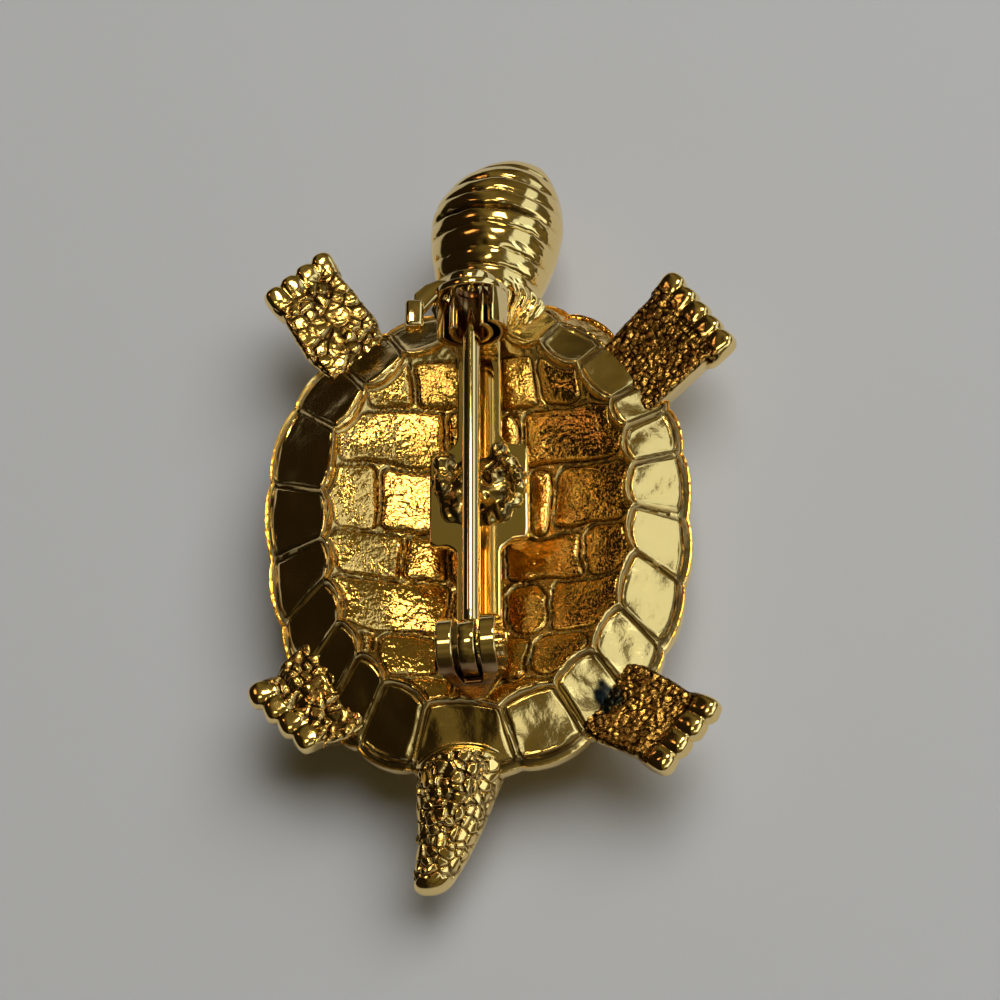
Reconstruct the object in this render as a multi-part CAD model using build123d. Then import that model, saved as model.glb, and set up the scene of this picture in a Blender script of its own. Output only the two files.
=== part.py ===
from build123d import *
import os
from math import atan2, copysign, cos, degrees, hypot, radians, sin, sqrt

# A gold turtle brooch, lying on its carapace with the pin back upwards.
# Millimetres. +X is the turtle's right-hand side as seen from above, +Y points to the head, +Z up.
# While it is modelled, z = 0 is the plane of the ridge round the plastron.

# Shell
shell_length = 29.4
shell_width = 23.2
shell_squareness = 2.3      # exponent of the rounded-square outline, 2 is an ellipse
ridge_share = 0.754         # size of the ridge round the plastron, share of the shell's
margin_drop = 1.8           # from the ridge down to the shell's outer edge
edge_strip = 1.0            # upright band round the outer edge
shell_depth = 6.3           # from the ridge plane down to the flat crown
crown_flat = 0.2            # how much of the dome the flat crown takes off
scallop = 0.2               # how far each marginal scute bulges
shoulder = 0.9              # how much fuller the left front of the margin is
shoulder_turn = 152.0
shoulder_spread = 55.0
carapace_seam = 0.4
carapace_relief = 0.25
vertebral_end = 0.24        # half width of a vertebral scute's end, share of the half width
vertebral_waist = 0.36      # half width of its middle
costal_rim = 0.80           # where the costal scutes end and the marginal ones begin
costal_fan = 1.15           # how the seams between the costal scutes fan out
pad_sink = 0.2              # marginal pads lie this much below their seams
pad_seam = 0.5
pad_rim = 0.12              # rim left inside and outside a pad, share of the margin's width
pad_bow = 0.05              # how far a pad's ends bulge

# Dished plastron
dish_depth = 2.2
cell_relief = 0.35
cell_seam = 0.42
cell_corner = 0.45
row_slant = 0.08            # how much the rows of cells fall to the right
dish_land = 0.25            # flat land between the ridge and the dish

# Head
head_width = 7.6
head_height = 6.0
head_reach = 9.6            # from the shell's front edge to the snout
head_side = 0.55            # the neck's place off the shell's axis
head_turn = -6.0            # degrees that the head looks to the side
head_lift = -1.3            # height of the head's axis
throat_relief = 0.2
throat_ridges = 9
neck_share = 0.82           # neck's width as a share of the head's
neck_root = 0.35            # how far the neck runs on into the shell, as a share of the reach
head_belly = 0.5            # where the head is widest, as a share of its reach
eye_size = 1.5
eye_place = (0.36, 0.62, -0.24)     # shares of the head's width, reach and height
snout_power = 0.55          # exponent of the snout's rounding

# Feet
foot_length = 6.0
ankle_width = 5.4
toe_spread = 5.4
foot_thickness = 1.9
foot_top = -1.1
foot_edge = 0.3
foot_root = 2.8             # how far the foot runs on into the shell
toe_size = 1.15
toe_length = 1.6
toe_reach = 0.45            # how far the toes stand out past the sole
toe_sink = 0.35             # toe's axis below the sole, share of the toe's size
root_share = 0.8            # width of the foot's end in the shell, share of the ankle's

# Tail
tail_length = 6.4
tail_width = 5.0
tail_side = -1.1            # the tail root's place off the shell's axis
tail_height = 3.0
tail_drop = 1.0             # how much lower the tip's axis lies than the root's
tail_lift = -2.2

# Pin-back finding
finding_share = 0.864       # length of the finding, share of the shell's
finding_side = 0.28         # the finding's place off the shell's centre
finding_forward = 1.2
bar_width = 2.5
bar_thickness = 0.5
bar_sink = 0.1              # depth of the bar's seat in the ridge
plate_width = 5.6
plate_length = 6.0
plate_corner = 0.5
solder_width = 3.9
solder_height = 0.5

# Hinge
stem_height = 2.3           # height of the stem and of the rivet above the ridge plane
rivet_size = 0.8
rivet_head = 1.3
rivet_head_thickness = 0.15
running_gap = 0.05          # radial clearance of everything that turns
ear_size = 3.5
ear_thickness = 0.75
ear_gap = 0.4
knuckle_width = 0.9
knuckle_size = 2.3
hinge_setback = 2.2         # from the bar's end to the rivet

# Stem
stem_size = 1.0
stem_root_size = 1.16
stem_root_length = 2.1      # thicker stretch from the rivet outwards
stem_clear = 0.2            # from the end of the straight stem to the catch
point_size = 0.2
point_reach = 0.4           # how far the point passes the middle of the catch

# Catch
catch_size = 3.4
catch_wall = 0.4
catch_length = 2.3
catch_setback = 2.2         # from the bar's end to the middle of the catch
catch_foot = 0.55           # width of the catch's foot, share of the catch's size
mouth_start = 46.0          # degrees round the catch, from +X towards +Z
mouth_end = 190.0
slot_half_turn = 42.0
lever_turn = 165.0
lever_thickness = 0.45
lever_reach = 3.0           # from the catch's axis to the knob's middle
lever_width = 1.7
knob_length = 2.1
knob_size = 1.15
knob_round = 0.35

# Turns of the seams between marginal scutes, degrees round the shell from +X
seam_turns = (67, 51, 34, 24, 12, -1, -15, -32, -47, -63, -82,
              -107, -124, -137, -150, -165, -179, -194, -213, -229, -245, -262, -279)

# Ends of the vertebral scutes as shares of the shell's half length
vertebral_ends = (0.70, 0.42, 0.14, -0.14, -0.42, -0.70)

# Plastron rows: top and bottom as shares of the half ridge length, and the
# upright seams of the row as shares of the half ridge width
plastron_rows = (
    {"top": 0.97, "bottom": 0.69, "seams": (-0.43, -0.10, 0.11, 0.385, 0.71)},
    {"top": 0.69, "bottom": 0.37, "seams": (-0.23, 0.095, 0.26)},
    {"top": 0.37, "bottom": 0.00, "seams": (-0.66, -0.23, 0.06, 0.29, 0.46)},
    {"top": 0.00, "bottom": -0.28, "seams": (-0.515, -0.23, 0.137, 0.657)},
    {"top": -0.28, "bottom": -0.59, "seams": (-0.21, 0.137, 0.434)},
    {"top": -0.59, "bottom": -0.86, "seams": (-0.657, -0.26, 0.10, 0.317, 0.72)},
    {"top": -0.86, "bottom": -0.98, "seams": (-0.14, 0.06)},
)

# Feet: ankle's place as shares of the shell's half width and half length,
# heading in degrees, shares of the foot's length, ankle and toe width, and
# how far the row of toes slants off square
feet = (
    {"x": -0.702, "y": 0.918, "heading": 121, "length": 0.88,
     "ankle": 0.90, "toes": 0.86, "slant": 10, "count": 5},
    {"x": 0.711, "y": 0.570, "heading": 42, "length": 1.06,
     "ankle": 1.00, "toes": 1.20, "slant": -10, "count": 5},
    {"x": -0.741, "y": -0.624, "heading": 206, "length": 0.52,
     "ankle": 1.24, "toes": 0.98, "slant": 16, "count": 5},
    {"x": 0.665, "y": -0.793, "heading": -34, "length": 0.75,
     "ankle": 0.95, "toes": 0.90, "slant": -9, "count": 5},
)

# Tail sections: share of the length, sideways shift, width and height as
# shares of the tail's own
tail_sections = (
    {"along": -0.35, "side": 0.06, "width": 0.95, "height": 0.95},
    {"along": 0.02, "side": 0.00, "width": 1.00, "height": 1.00},
    {"along": 0.37, "side": -0.13, "width": 0.77, "height": 0.84},
    {"along": 0.64, "side": -0.24, "width": 0.55, "height": 0.64},
    {"along": 0.90, "side": -0.34, "width": 0.34, "height": 0.44},
    {"along": 1.00, "side": -0.37, "width": 0.14, "height": 0.18},
)

# Solder lumps on the plate: place, size and height as shares of the solder's own
solder_lumps = (
    {"x": -0.55, "y": 0.20, "size": 0.42, "height": 1.0},
    {"x": -0.35, "y": -0.45, "size": 0.36, "height": 0.7},
    {"x": 0.48, "y": 0.10, "size": 0.46, "height": 1.0},
    {"x": 0.30, "y": -0.50, "size": 0.40, "height": 0.8},
    {"x": 0.00, "y": 0.48, "size": 0.38, "height": 0.8},
)

# Worked out from the values above
through = 4 * shell_depth                      # long enough to cut right through
shell_radius = shell_width / 2
ridge_radius = ridge_share * shell_radius
dish_radius = ridge_radius - dish_land
stretch = shell_length / shell_width           # the shell is modelled round, then stretched along Y
finding_length = finding_share * shell_length
bar_top = bar_thickness - bar_sink
catch_middle = finding_length / 2 - catch_setback
rivet_middle = -finding_length / 2 + hinge_setback
roller_size = catch_size - 2 * catch_wall - 2 * running_gap
wall_start = rivet_middle + stem_root_length   # the stem's plain round stretch
wall_end = catch_middle - catch_length / 2 - stem_clear
finding_place = Pos(finding_side, finding_forward, 0)


def outline_point(turn, radius):
    # point of a rounded square of that half width, in the round plan
    c = cos(radians(turn))
    s = sin(radians(turn))
    power = 2 / shell_squareness
    off_shoulder = (turn - shoulder_turn + 180) % 360 - 180
    if abs(off_shoulder) < shoulder_spread:
        radius += shoulder * cos(radians(90 * off_shoulder / shoulder_spread)) ** 2
    return copysign(abs(c) ** power, c) * radius, copysign(abs(s) ** power, s) * radius


def seam_pairs():
    turns = list(seam_turns) + [seam_turns[0] - 360]
    return list(zip(turns[:-1], turns[1:]))


def margin_point(turn, share):
    # share 0 is on the round ridge and 1 on the squarer outer edge
    inner = (ridge_radius * cos(radians(turn)), ridge_radius * sin(radians(turn)))
    outer = outline_point(turn, shell_radius)
    return tuple(a + (b - a) * share for a, b in zip(inner, outer))


def shell_outline():
    # closed ring of one bulging arc for each marginal scute
    arcs = []
    for start, end in seam_pairs():
        middle = outline_point((start + end) / 2, shell_radius + scallop)
        arcs.append(ThreePointArc(margin_point(start, 1), middle, margin_point(end, 1)))
    return make_face(Wire(arcs))


def cap(radius, depth, level):
    # ball whose lowest point lies depth below the circle of that radius at that level
    ball = (radius ** 2 + depth ** 2) / (2 * depth)
    return Pos(0, 0, level - depth + ball) * Sphere(ball)


def carapace(inset=0.0):
    edge = margin_drop + edge_strip
    return cap(shell_radius, shell_depth + crown_flat - edge, inset - edge)


def dish(sink=0.0):
    return cap(dish_radius, dish_depth, -sink)


def margin_slope(sink=0.0):
    # cone that falls from the ridge to the shell's outer edge
    fall = (shell_radius - ridge_radius) / margin_drop
    cone = Cone(ridge_radius + fall * through, ridge_radius, through)
    return Pos(0, 0, -through / 2 - sink) * cone


def column(plan):
    # upright prism on a plan, from far below up to the ridge plane
    return Pos(0, 0, -through) * extrude(plan, through)


def strip(start, end, width):
    run = (end[0] - start[0], end[1] - start[1])
    middle = Pos((start[0] + end[0]) / 2, (start[1] + end[1]) / 2)
    return middle * Rot(0, 0, degrees(atan2(run[1], run[0]))) * Rectangle(hypot(*run) + width, width)


def carapace_seams():
    # five vertebral scutes down the middle, costal scutes beside them, marginals outside
    narrow = vertebral_end * shell_radius
    wide = vertebral_waist * shell_radius
    ring = costal_rim * shell_radius
    levels = [share * shell_radius for share in vertebral_ends]
    strips = [strip((-narrow, level), (narrow, level), carapace_seam) for level in levels]
    for upper, lower in zip(levels[:-1], levels[1:]):
        middle = (upper + lower) / 2
        for side in (-1, 1):
            corner = (side * wide, middle)
            far = costal_fan * middle
            strips.append(strip(corner, (side * narrow, upper), carapace_seam))
            strips.append(strip(corner, (side * narrow, lower), carapace_seam))
            strips.append(strip(corner, (side * sqrt(ring ** 2 - far ** 2), far), carapace_seam))
    for turn in seam_turns:
        inner = (ring * cos(radians(turn)), ring * sin(radians(turn)))
        strips.append(strip(inner, margin_point(turn, 1), carapace_seam))
    return Sketch() + strips + (Circle(ring) - Circle(ring - carapace_seam))


def margin_pads():
    # plan of the sunk polished pads, one for each marginal scute
    pads = []
    for start, end in seam_pairs():
        half_seam = degrees(pad_seam / 2 / ((shell_radius + ridge_radius) / 2))
        start, end, middle = start - half_seam, end + half_seam, (start + end) / 2
        near, far = pad_rim, 1 - pad_rim
        inner = [margin_point(start, near), margin_point(middle, near - pad_bow), margin_point(end, near)]
        outer = [margin_point(end, far), margin_point(middle, far + pad_bow), margin_point(start, far)]
        sides = [Line(inner[2], outer[0]), Line(outer[2], inner[0])]
        pads.append(make_face(Wire([ThreePointArc(*inner), sides[0], ThreePointArc(*outer), sides[1]])))
    return Sketch() + pads


def plastron_cells():
    cells = []
    for row in plastron_rows:
        edges = (-1.0,) + row["seams"] + (1.0,)
        top = row["top"] * ridge_radius - cell_seam / 2 / stretch
        bottom = row["bottom"] * ridge_radius + cell_seam / 2 / stretch
        for left, right in zip(edges[:-1], edges[1:]):
            left = left * ridge_radius + cell_seam / 2
            right = right * ridge_radius - cell_seam / 2
            corners = [(left, bottom), (right, bottom), (right, top), (left, top)]
            cell = make_face(Polyline([(x, y - row_slant * x) for x, y in corners], close=True))
            corner = min(cell_corner, (right - left) / 3, (top - bottom) / 3)
            cells.append(fillet(cell.vertices(), corner))
    return (Sketch() + cells) & Circle(dish_radius - cell_seam)


def shell():
    body = column(shell_outline()) & carapace() & margin_slope()
    crown = Pos(0, 0, -shell_depth - through / 2) * Box(through, through, through)
    scute_cut = column(carapace_seams()) - carapace(carapace_relief)
    pad_cut = column(margin_pads()) - margin_slope(pad_sink)
    cell_cut = (column(Circle(dish_radius)) & dish(cell_relief)) - column(plastron_cells())
    body = body - [scute_cut, pad_cut, dish(), cell_cut]
    return scale(body, by=(1, stretch, 1)) - crown


def upright_ring(along, side, half_width, upper, lower):
    # ellipse-like ring square to +Y, with its own height above and below its axis
    place = Plane(origin=(side, along, 0), x_dir=(1, 0, 0), z_dir=(0, -1, 0))
    top = EllipticalCenterArc((0, 0), half_width, upper, 0, arc_size=180)
    bottom = EllipticalCenterArc((0, 0), half_width, lower, 180, arc_size=180)
    return place * make_face(Wire([top, bottom]))


def head_swell(along):
    # width of the egg-shaped head as a share of its greatest, from neck to snout
    if along < head_belly:
        return 1 - (1 - neck_share) * ((head_belly - along) / head_belly) ** 2
    return (1 - ((along - head_belly) / (1 - head_belly)) ** 2) ** snout_power


def head():
    # stations are shares of the reach, each with the depth of its groove across the throat
    throat_start, throat_end = 0.04, 0.92
    pitch = (throat_end - throat_start) / throat_ridges
    stations = [(-neck_root, 0), (-0.1, 0)]
    for index in range(throat_ridges):
        start = throat_start + pitch * index
        stations += [(start, throat_relief), (start + 0.3 * pitch, 0), (start + 0.8 * pitch, 0)]
    stations += [(0.95, 0), (0.985, 0)]
    rings = []
    for along, groove in stations:
        half_width = head_swell(along) * head_width / 2
        half_height = head_swell(along) * head_height / 2
        rings.append(upright_ring(along * head_reach, 0, half_width, half_height - groove, half_height))
    eyes = []
    for side in (-1, 1):
        x, y, z = side * eye_place[0] * head_width, eye_place[1] * head_reach, eye_place[2] * head_height
        eyes.append(Pos(x, y, z) * Sphere(eye_size / 2))
    place = Pos(head_side, shell_length / 2, head_lift) * Rot(0, 0, head_turn)
    return place * (loft(rings, ruled=True) + eyes)


def foot(row):
    length = row["length"] * foot_length
    ankle = row["ankle"] * ankle_width / 2
    spread = row["toes"] * toe_spread / 2
    lean = radians(row["slant"])
    tips = [(length - side * spread * sin(lean), side * spread * cos(lean)) for side in (1, -1)]
    root = -foot_root
    root_half = root_share * ankle
    points = [(root, root_half), (0, ankle), tips[0], tips[1], (0, -ankle), (root, -root_half)]
    sole = extrude(make_face(Polyline(points, close=True)), -foot_thickness)
    sole = fillet(sole.edges().group_by(Axis.Z)[-1], foot_edge)
    toes = []
    for index in range(row["count"]):
        share = (index + 0.5) / row["count"]
        x = tips[0][0] + (tips[1][0] - tips[0][0]) * share
        y = tips[0][1] + (tips[1][1] - tips[0][1]) * share
        toe = Rot(0, 90, 0) * Cylinder(toe_size / 2, toe_length)
        toe += Pos(toe_length / 2, 0, 0) * Sphere(toe_size / 2)
        toes.append(Pos(x + toe_reach - (toe_length + toe_size) / 2, y, -toe_size * toe_sink) * toe)
    ankle_place = Pos(row["x"] * shell_width / 2, row["y"] * shell_length / 2, foot_top)
    return ankle_place * Rot(0, 0, row["heading"]) * (sole + toes)


def tail():
    rings = []
    for row in tail_sections:
        half_height = row["height"] * tail_height / 2
        rings.append(upright_ring(row["along"] * tail_length, -row["side"] * tail_width,
                                  row["width"] * tail_width / 2, half_height, half_height))
    drop = degrees(atan2(tail_drop, tail_length))
    return Pos(tail_side, -shell_length / 2, tail_lift) * Rot(0, 0, 180) * Rot(-drop, 0, 0) * loft(rings)


def bar_and_plate():
    bar = Box(bar_width, finding_length, bar_thickness)
    plate = extrude(RectangleRounded(plate_width, plate_length, plate_corner), bar_thickness)
    flat = Pos(0, 0, bar_top - bar_thickness / 2) * bar + Pos(0, 0, bar_top - bar_thickness) * plate
    post_height = dish_depth + cell_relief + bar_top
    post = Pos(0, 0, bar_top - post_height / 2) * Cylinder(solder_width / 2, post_height)
    lumps = []
    for row in solder_lumps:
        radius = row["size"] * solder_width / 2
        level = bar_top + row["height"] * solder_height - radius
        lumps.append(Pos(row["x"] * solder_width / 2, row["y"] * solder_width / 2, level) * Sphere(radius))
    return flat + post + lumps


def hinge_ears():
    ear_height = stem_height - bar_top + bar_thickness / 2
    ears = []
    for side in (-1, 1):
        middle = side * (knuckle_width / 2 + ear_gap + ear_thickness / 2)
        disc = Rot(0, 90, 0) * Cylinder(ear_size / 2, ear_thickness)
        leg = Pos(0, 0, -ear_height / 2) * Box(ear_thickness, ear_size, ear_height)
        ears.append(Pos(middle, rivet_middle, stem_height) * (disc + leg))
    span = knuckle_width + 2 * ear_gap + 2 * ear_thickness
    hole = Rot(0, 90, 0) * Cylinder(rivet_size / 2 + running_gap, 2 * span)
    hole = Pos(0, rivet_middle, stem_height) * hole
    base = Pos(0, rivet_middle, bar_top - bar_thickness / 2) * Box(span, ear_size, bar_thickness)
    return base, ears, hole


def sector(radius, start, end):
    # pie slice in a plane whose x is +X and whose y is +Z, cut in quarters so that it reaches past radius
    turns = [start + (end - start) * quarter / 4 for quarter in range(5)]
    points = [(0, 0)] + [(2 * radius * cos(radians(t)), 2 * radius * sin(radians(t))) for t in turns]
    return make_face(Polyline(points, close=True))


def catch_section():
    # plane across the catch at its end by the head
    end = catch_middle + catch_length / 2
    return Plane(origin=(0, end, stem_height), x_dir=(1, 0, 0), z_dir=(0, -1, 0))


def catch_housing():
    radius = catch_size / 2
    tube = Circle(radius) - sector(radius, mouth_start, mouth_end)
    down = stem_height - bar_top + bar_thickness / 2
    tube += Pos(0, -down / 2) * Rectangle(catch_foot * catch_size, down)
    tube -= Circle(radius - catch_wall)
    return extrude(catch_section() * tube, catch_length)


def turtle_casting():
    base, ears, hole = hinge_ears()
    finding = bar_and_plate() + base + ears + catch_housing() - hole
    parts = [head(), tail(), finding_place * finding] + [foot(row) for row in feet]
    return shell() + parts


def joint_rivet():
    span = knuckle_width + 2 * ear_gap + 2 * ear_thickness + 2 * running_gap
    rivet = Cylinder(rivet_size / 2, span)
    for side in (-1, 1):
        end = Cylinder(rivet_head / 2, rivet_head_thickness)
        rivet += Pos(0, 0, side * (span + rivet_head_thickness) / 2) * end
    return finding_place * Pos(0, rivet_middle, stem_height) * Rot(0, 90, 0) * rivet


def turned(radius_start, radius_end, start, end):
    # round bar along +Y between two levels
    if radius_start == radius_end:
        bar = Cylinder(radius_start, end - start)
    else:
        bar = Cone(radius_start, radius_end, end - start)
    return Pos(0, (start + end) / 2, stem_height) * Rot(-90, 0, 0) * bar


def pin_stem():
    point_end = catch_middle + point_reach
    pivot = Pos(0, rivet_middle, stem_height) * Rot(0, 90, 0)
    knuckle = Cylinder(knuckle_size / 2, knuckle_width)
    bore = Cylinder(rivet_size / 2 + running_gap, 2 * knuckle_width)
    stem = turned(stem_root_size / 2, stem_size / 2, rivet_middle, wall_start)
    stem += turned(stem_size / 2, stem_size / 2, wall_start, wall_end)
    stem += turned(stem_size / 2, point_size / 2, wall_end, point_end)
    stem += Pos(0, point_end, stem_height) * Sphere(point_size / 2)
    return finding_place * (pivot * knuckle + stem - pivot * bore)


def catch_roller():
    radius = roller_size / 2
    lever = Rectangle(lever_reach - radius + catch_wall, lever_thickness)
    lever = Pos((lever_reach + radius - catch_wall) / 2, 0) * lever
    ring = Circle(radius) - Circle(radius - catch_wall)
    ring -= sector(radius, 90 - slot_half_turn, 90 + slot_half_turn)
    tube = extrude(catch_section() * ring, catch_length)
    lever_depth = (catch_length - lever_width) / 2
    lever_plane = catch_section().offset(lever_depth)
    tube += extrude(lever_plane * (Rot(0, 0, lever_turn) * lever), lever_width)
    knob = Box(knob_size, knob_size, knob_length)
    knob = fillet(knob.edges(), knob_round)
    knob_plane = catch_section().offset(catch_length / 2)
    tube += knob_plane.location * Rot(0, 0, lever_turn) * Pos(lever_reach, 0) * knob
    return finding_place * tube


def main():
    os.makedirs("parts", exist_ok=True)
    nodes = {
        "turtle_casting": turtle_casting(),
        "joint_rivet": joint_rivet(),
        "pin_stem": pin_stem(),
        "catch_roller": catch_roller(),
    }
    box = Compound(children=[Compound(list(node.solids())) for node in nodes.values()]).bounding_box()
    lift = Pos(-box.center().X, -box.center().Y, -box.min.Z)
    for name, node in nodes.items():
        solids = node.solids()
        placed = lift * (solids[0] if len(solids) == 1 else Compound(list(solids)))
        export_step(placed, f"parts/{name}.step")
    marks = {
        "crown": (0, 0, -shell_depth),
        "rivet": (finding_side, finding_forward + rivet_middle, stem_height),
        "catch": (finding_side, finding_forward + catch_middle, stem_height),
        "stem wall middle": (finding_side, finding_forward + (wall_start + wall_end) / 2, stem_height),
    }
    print("overall size", box.size, "stem wall length", wall_end - wall_start)
    for name, mark in marks.items():
        print(name, Vector(*mark) + lift.position)


main()
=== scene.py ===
import bpy
import bmesh
import numpy as np
from math import cos, pi, radians, sin
from mathutils import Matrix, Vector, noise


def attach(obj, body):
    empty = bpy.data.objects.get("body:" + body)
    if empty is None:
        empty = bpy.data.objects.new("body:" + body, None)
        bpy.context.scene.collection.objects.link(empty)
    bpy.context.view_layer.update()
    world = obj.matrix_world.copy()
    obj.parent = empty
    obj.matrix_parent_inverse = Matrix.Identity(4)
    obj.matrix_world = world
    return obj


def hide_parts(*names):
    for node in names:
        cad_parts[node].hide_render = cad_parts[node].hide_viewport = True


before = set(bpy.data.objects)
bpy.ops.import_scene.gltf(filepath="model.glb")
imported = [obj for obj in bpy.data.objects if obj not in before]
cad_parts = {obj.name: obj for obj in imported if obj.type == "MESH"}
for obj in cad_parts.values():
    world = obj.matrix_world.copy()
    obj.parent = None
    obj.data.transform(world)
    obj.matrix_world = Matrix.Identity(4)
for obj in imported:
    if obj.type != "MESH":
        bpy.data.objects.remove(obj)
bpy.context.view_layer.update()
noise.seed_set(1)   # left alone, the seed is the time of day and shifts noise_vector
print("frame loaded")

# Pieces are modelled in millimetres about the middle of the shell, with the ridge round the
# plastron at height 0, and settled into the frame in metres when they are finished.
shellCentre = Vector((-0.775377, -1.561534, 6.3))


# small helpers
def deselect():
    if bpy.context.object and bpy.context.object.mode != "OBJECT":
        bpy.ops.object.mode_set(mode="OBJECT")
    bpy.ops.object.select_all(action="DESELECT")


def choose(*pieces):
    deselect()
    for piece in pieces:
        piece.select_set(True)
    bpy.context.view_layer.objects.active = pieces[0]


def freshPiece(name):
    piece = bpy.context.object
    piece.name = name
    piece.data.name = name
    return piece


def applyPlace():
    bpy.ops.object.transform_apply(location=True, rotation=True, scale=True)


def editAll(piece):
    choose(piece)
    bpy.ops.object.mode_set(mode="EDIT")
    bpy.ops.mesh.select_all(action="SELECT")


def extrude(*way):
    bpy.ops.mesh.extrude_region_move(TRANSFORM_OT_translate={"value": way})


def pickFaces(piece, test):
    # leaves the piece in edit mode with only the faces that pass the test selected
    choose(piece)
    bpy.ops.object.mode_set(mode="EDIT")
    bpy.ops.mesh.select_mode(type="FACE")
    bpy.ops.mesh.select_all(action="DESELECT")
    mesh = bmesh.from_edit_mesh(piece.data)
    for face in mesh.faces:
        face.select = test(face.calc_center_median(), face.normal)
    mesh.select_flush_mode()
    bmesh.update_edit_mesh(piece.data)


def useModifier(piece, kind, **values):
    choose(piece)
    modifier = piece.modifiers.new(kind.lower(), kind)
    for key, value in values.items():
        setattr(modifier, key, value)
    bpy.ops.object.modifier_apply(modifier=modifier.name)


def bevelEdges(piece, width, segments, angle):
    useModifier(piece, "BEVEL", width=width, segments=segments, limit_method="ANGLE", angle_limit=radians(angle))


def soften(piece, rounds):
    useModifier(piece, "SMOOTH", factor=0.5, iterations=rounds)


def meltTogether(piece, voxel, rounds):
    # parts that overlap become one skin
    useModifier(piece, "REMESH", mode="VOXEL", voxel_size=voxel)
    soften(piece, rounds)


def readPoints(piece):
    spots = np.empty(len(piece.data.vertices) * 3)
    piece.data.vertices.foreach_get("co", spots)
    return spots.reshape(-1, 3)


def readNormals(piece):
    ways = np.empty(len(piece.data.vertices) * 3)
    piece.data.vertices.foreach_get("normal", ways)
    return ways.reshape(-1, 3)


def writePoints(piece, spots):
    piece.data.vertices.foreach_set("co", np.ascontiguousarray(spots, dtype=float).ravel())
    piece.data.update()


def paintFinishAndShade(piece, sand, groove, stain=0):
    # red is how sandy the cast skin is, green how much tarnish and painted shade, blue how stained with dark tarnish
    layer = piece.data.color_attributes.new("finishAndShade", "FLOAT_COLOR", "POINT")
    colours = np.ones((len(piece.data.vertices), 4), dtype=np.float32)
    for channel, value in enumerate((sand, groove, stain)):
        colours[:, channel] = value
    layer.data.foreach_set("color", colours.ravel())


def asPoints(x, y, z):
    return np.stack(np.broadcast_arrays(x, y, z), axis=1)


def smoothStep(value):
    value = np.clip(value, 0, 1)
    return value * value * (3 - 2 * value)


def hump(distance, width):
    # 1 at no distance, falling off on both sides
    return np.exp(-(distance / width) ** 2)


def lumps(spots, size, seed=0.0, stretch=(1, 1, 1)):
    # soft noise, about -1 to 1, with lumps of that size in millimetres
    scale = [1 / size / s for s in stretch]
    return np.array([noise.noise((x * scale[0] + seed, y * scale[1] + seed, z * scale[2])) for x, y, z in spots])


def layers(spots, rows):
    # several sizes of soft noise together, each row a height, a size and a seed
    return sum(height * lumps(spots, size, seed) for height, size, seed in rows)


def chips(spots, size, seed=0.0, wander=0.3, border=0.22):
    # cells of that size in millimetres: each one's own slope, and how far inside its border, 0 to 1
    found = np.empty((len(spots), 2))
    for index, (x, y, z) in enumerate(spots / size + seed):
        here = Vector((x, y, z)) + noise.noise_vector((x * 0.8, y * 0.8, z * 0.8)) * wander
        far, seeds = noise.voronoi(here)
        slope = noise.cell_vector(seeds[0] * 9.7) - Vector((0.5, 0.5, 0.5))
        found[index] = slope.dot(here - seeds[0]) * 2, far[1] - far[0]
    return found[:, 0], smoothStep(found[:, 1] / border)


def seamLine(distance, thread, cut, half=0.2):
    # a fine raised thread with a thin groove beside it
    return thread * hump(np.maximum(distance, 0), 0.55 * half) - cut * hump(distance - half, 0.42 * half)


def gridPiece(name, columns, rows):
    deselect()
    bpy.ops.mesh.primitive_grid_add(x_subdivisions=columns, y_subdivisions=rows, size=2)
    return freshPiece(name)


def sphereAlongY(name, rings, segments):
    # a ball whose poles lie along Y, with each point's share of the way and its place round the way
    deselect()
    bpy.ops.mesh.primitive_uv_sphere_add(segments=segments, ring_count=rings, radius=1)
    piece = freshPiece(name)
    editAll(piece)
    bpy.ops.transform.rotate(value=pi / 2, orient_axis="X", center_override=(0, 0, 0))
    bpy.ops.object.mode_set(mode="OBJECT")
    x, y, z = readPoints(piece).T
    flat = np.maximum(np.hypot(x, z), 1e-6)
    return piece, 0.5 + np.arcsin(np.clip(y, -1, 1)) / pi, x / flat, z / flat


def settle(piece, material, smooth=40, body="root"):
    # turns a finished piece from millimetres about the shell into metres in the frame
    choose(piece)
    piece.data.transform(Matrix.Scale(0.001, 4) @ Matrix.Translation(shellCentre))
    piece.data.update()
    bpy.ops.object.shade_smooth_by_angle(angle=radians(smooth))
    piece.data.materials.clear()
    piece.data.materials.append(material)
    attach(piece, body)
    return piece


def recalculate(piece):
    editAll(piece)
    bpy.ops.mesh.remove_doubles(threshold=0.002)
    bpy.ops.mesh.normals_make_consistent(inside=False)
    bpy.ops.object.mode_set(mode="OBJECT")


def closeUnder(piece, steps):
    # draws the open border on, a depth and a size at each step, and closes it with a lid
    choose(piece)
    bpy.ops.object.mode_set(mode="EDIT")
    bpy.ops.mesh.select_mode(type="EDGE")
    bpy.ops.mesh.select_all(action="DESELECT")
    bpy.ops.mesh.select_non_manifold()
    for depth, size in steps:
        extrude(0, 0, depth)
        bpy.ops.transform.resize(value=size)
    bpy.ops.mesh.edge_face_add()
    bpy.ops.object.mode_set(mode="OBJECT")
    recalculate(piece)


# finishes, with tarnish and painted shade
castLook = {
    # how much the fine and the coarse grain stand out, and the coarse grain's scale to the fine one's
    "fine": 0.45, "coarse": 0.95, "coarseScale": 0.4,
    "patches": 500.0, "hairs": 2600.0, "hairSquash": (1.0, 0.08, 1.0), "hairDepth": 0.12,
    # how the patches break up the tarnish and painted shade and the stain, and what they and the tarnish and painted
    # shade add to the roughness
    "tarnishAndShadeMix": (0.9, 0.4), "stain": (1.2, 0.4), "uneven": 0.08, "dull": 0.15,
}


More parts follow.
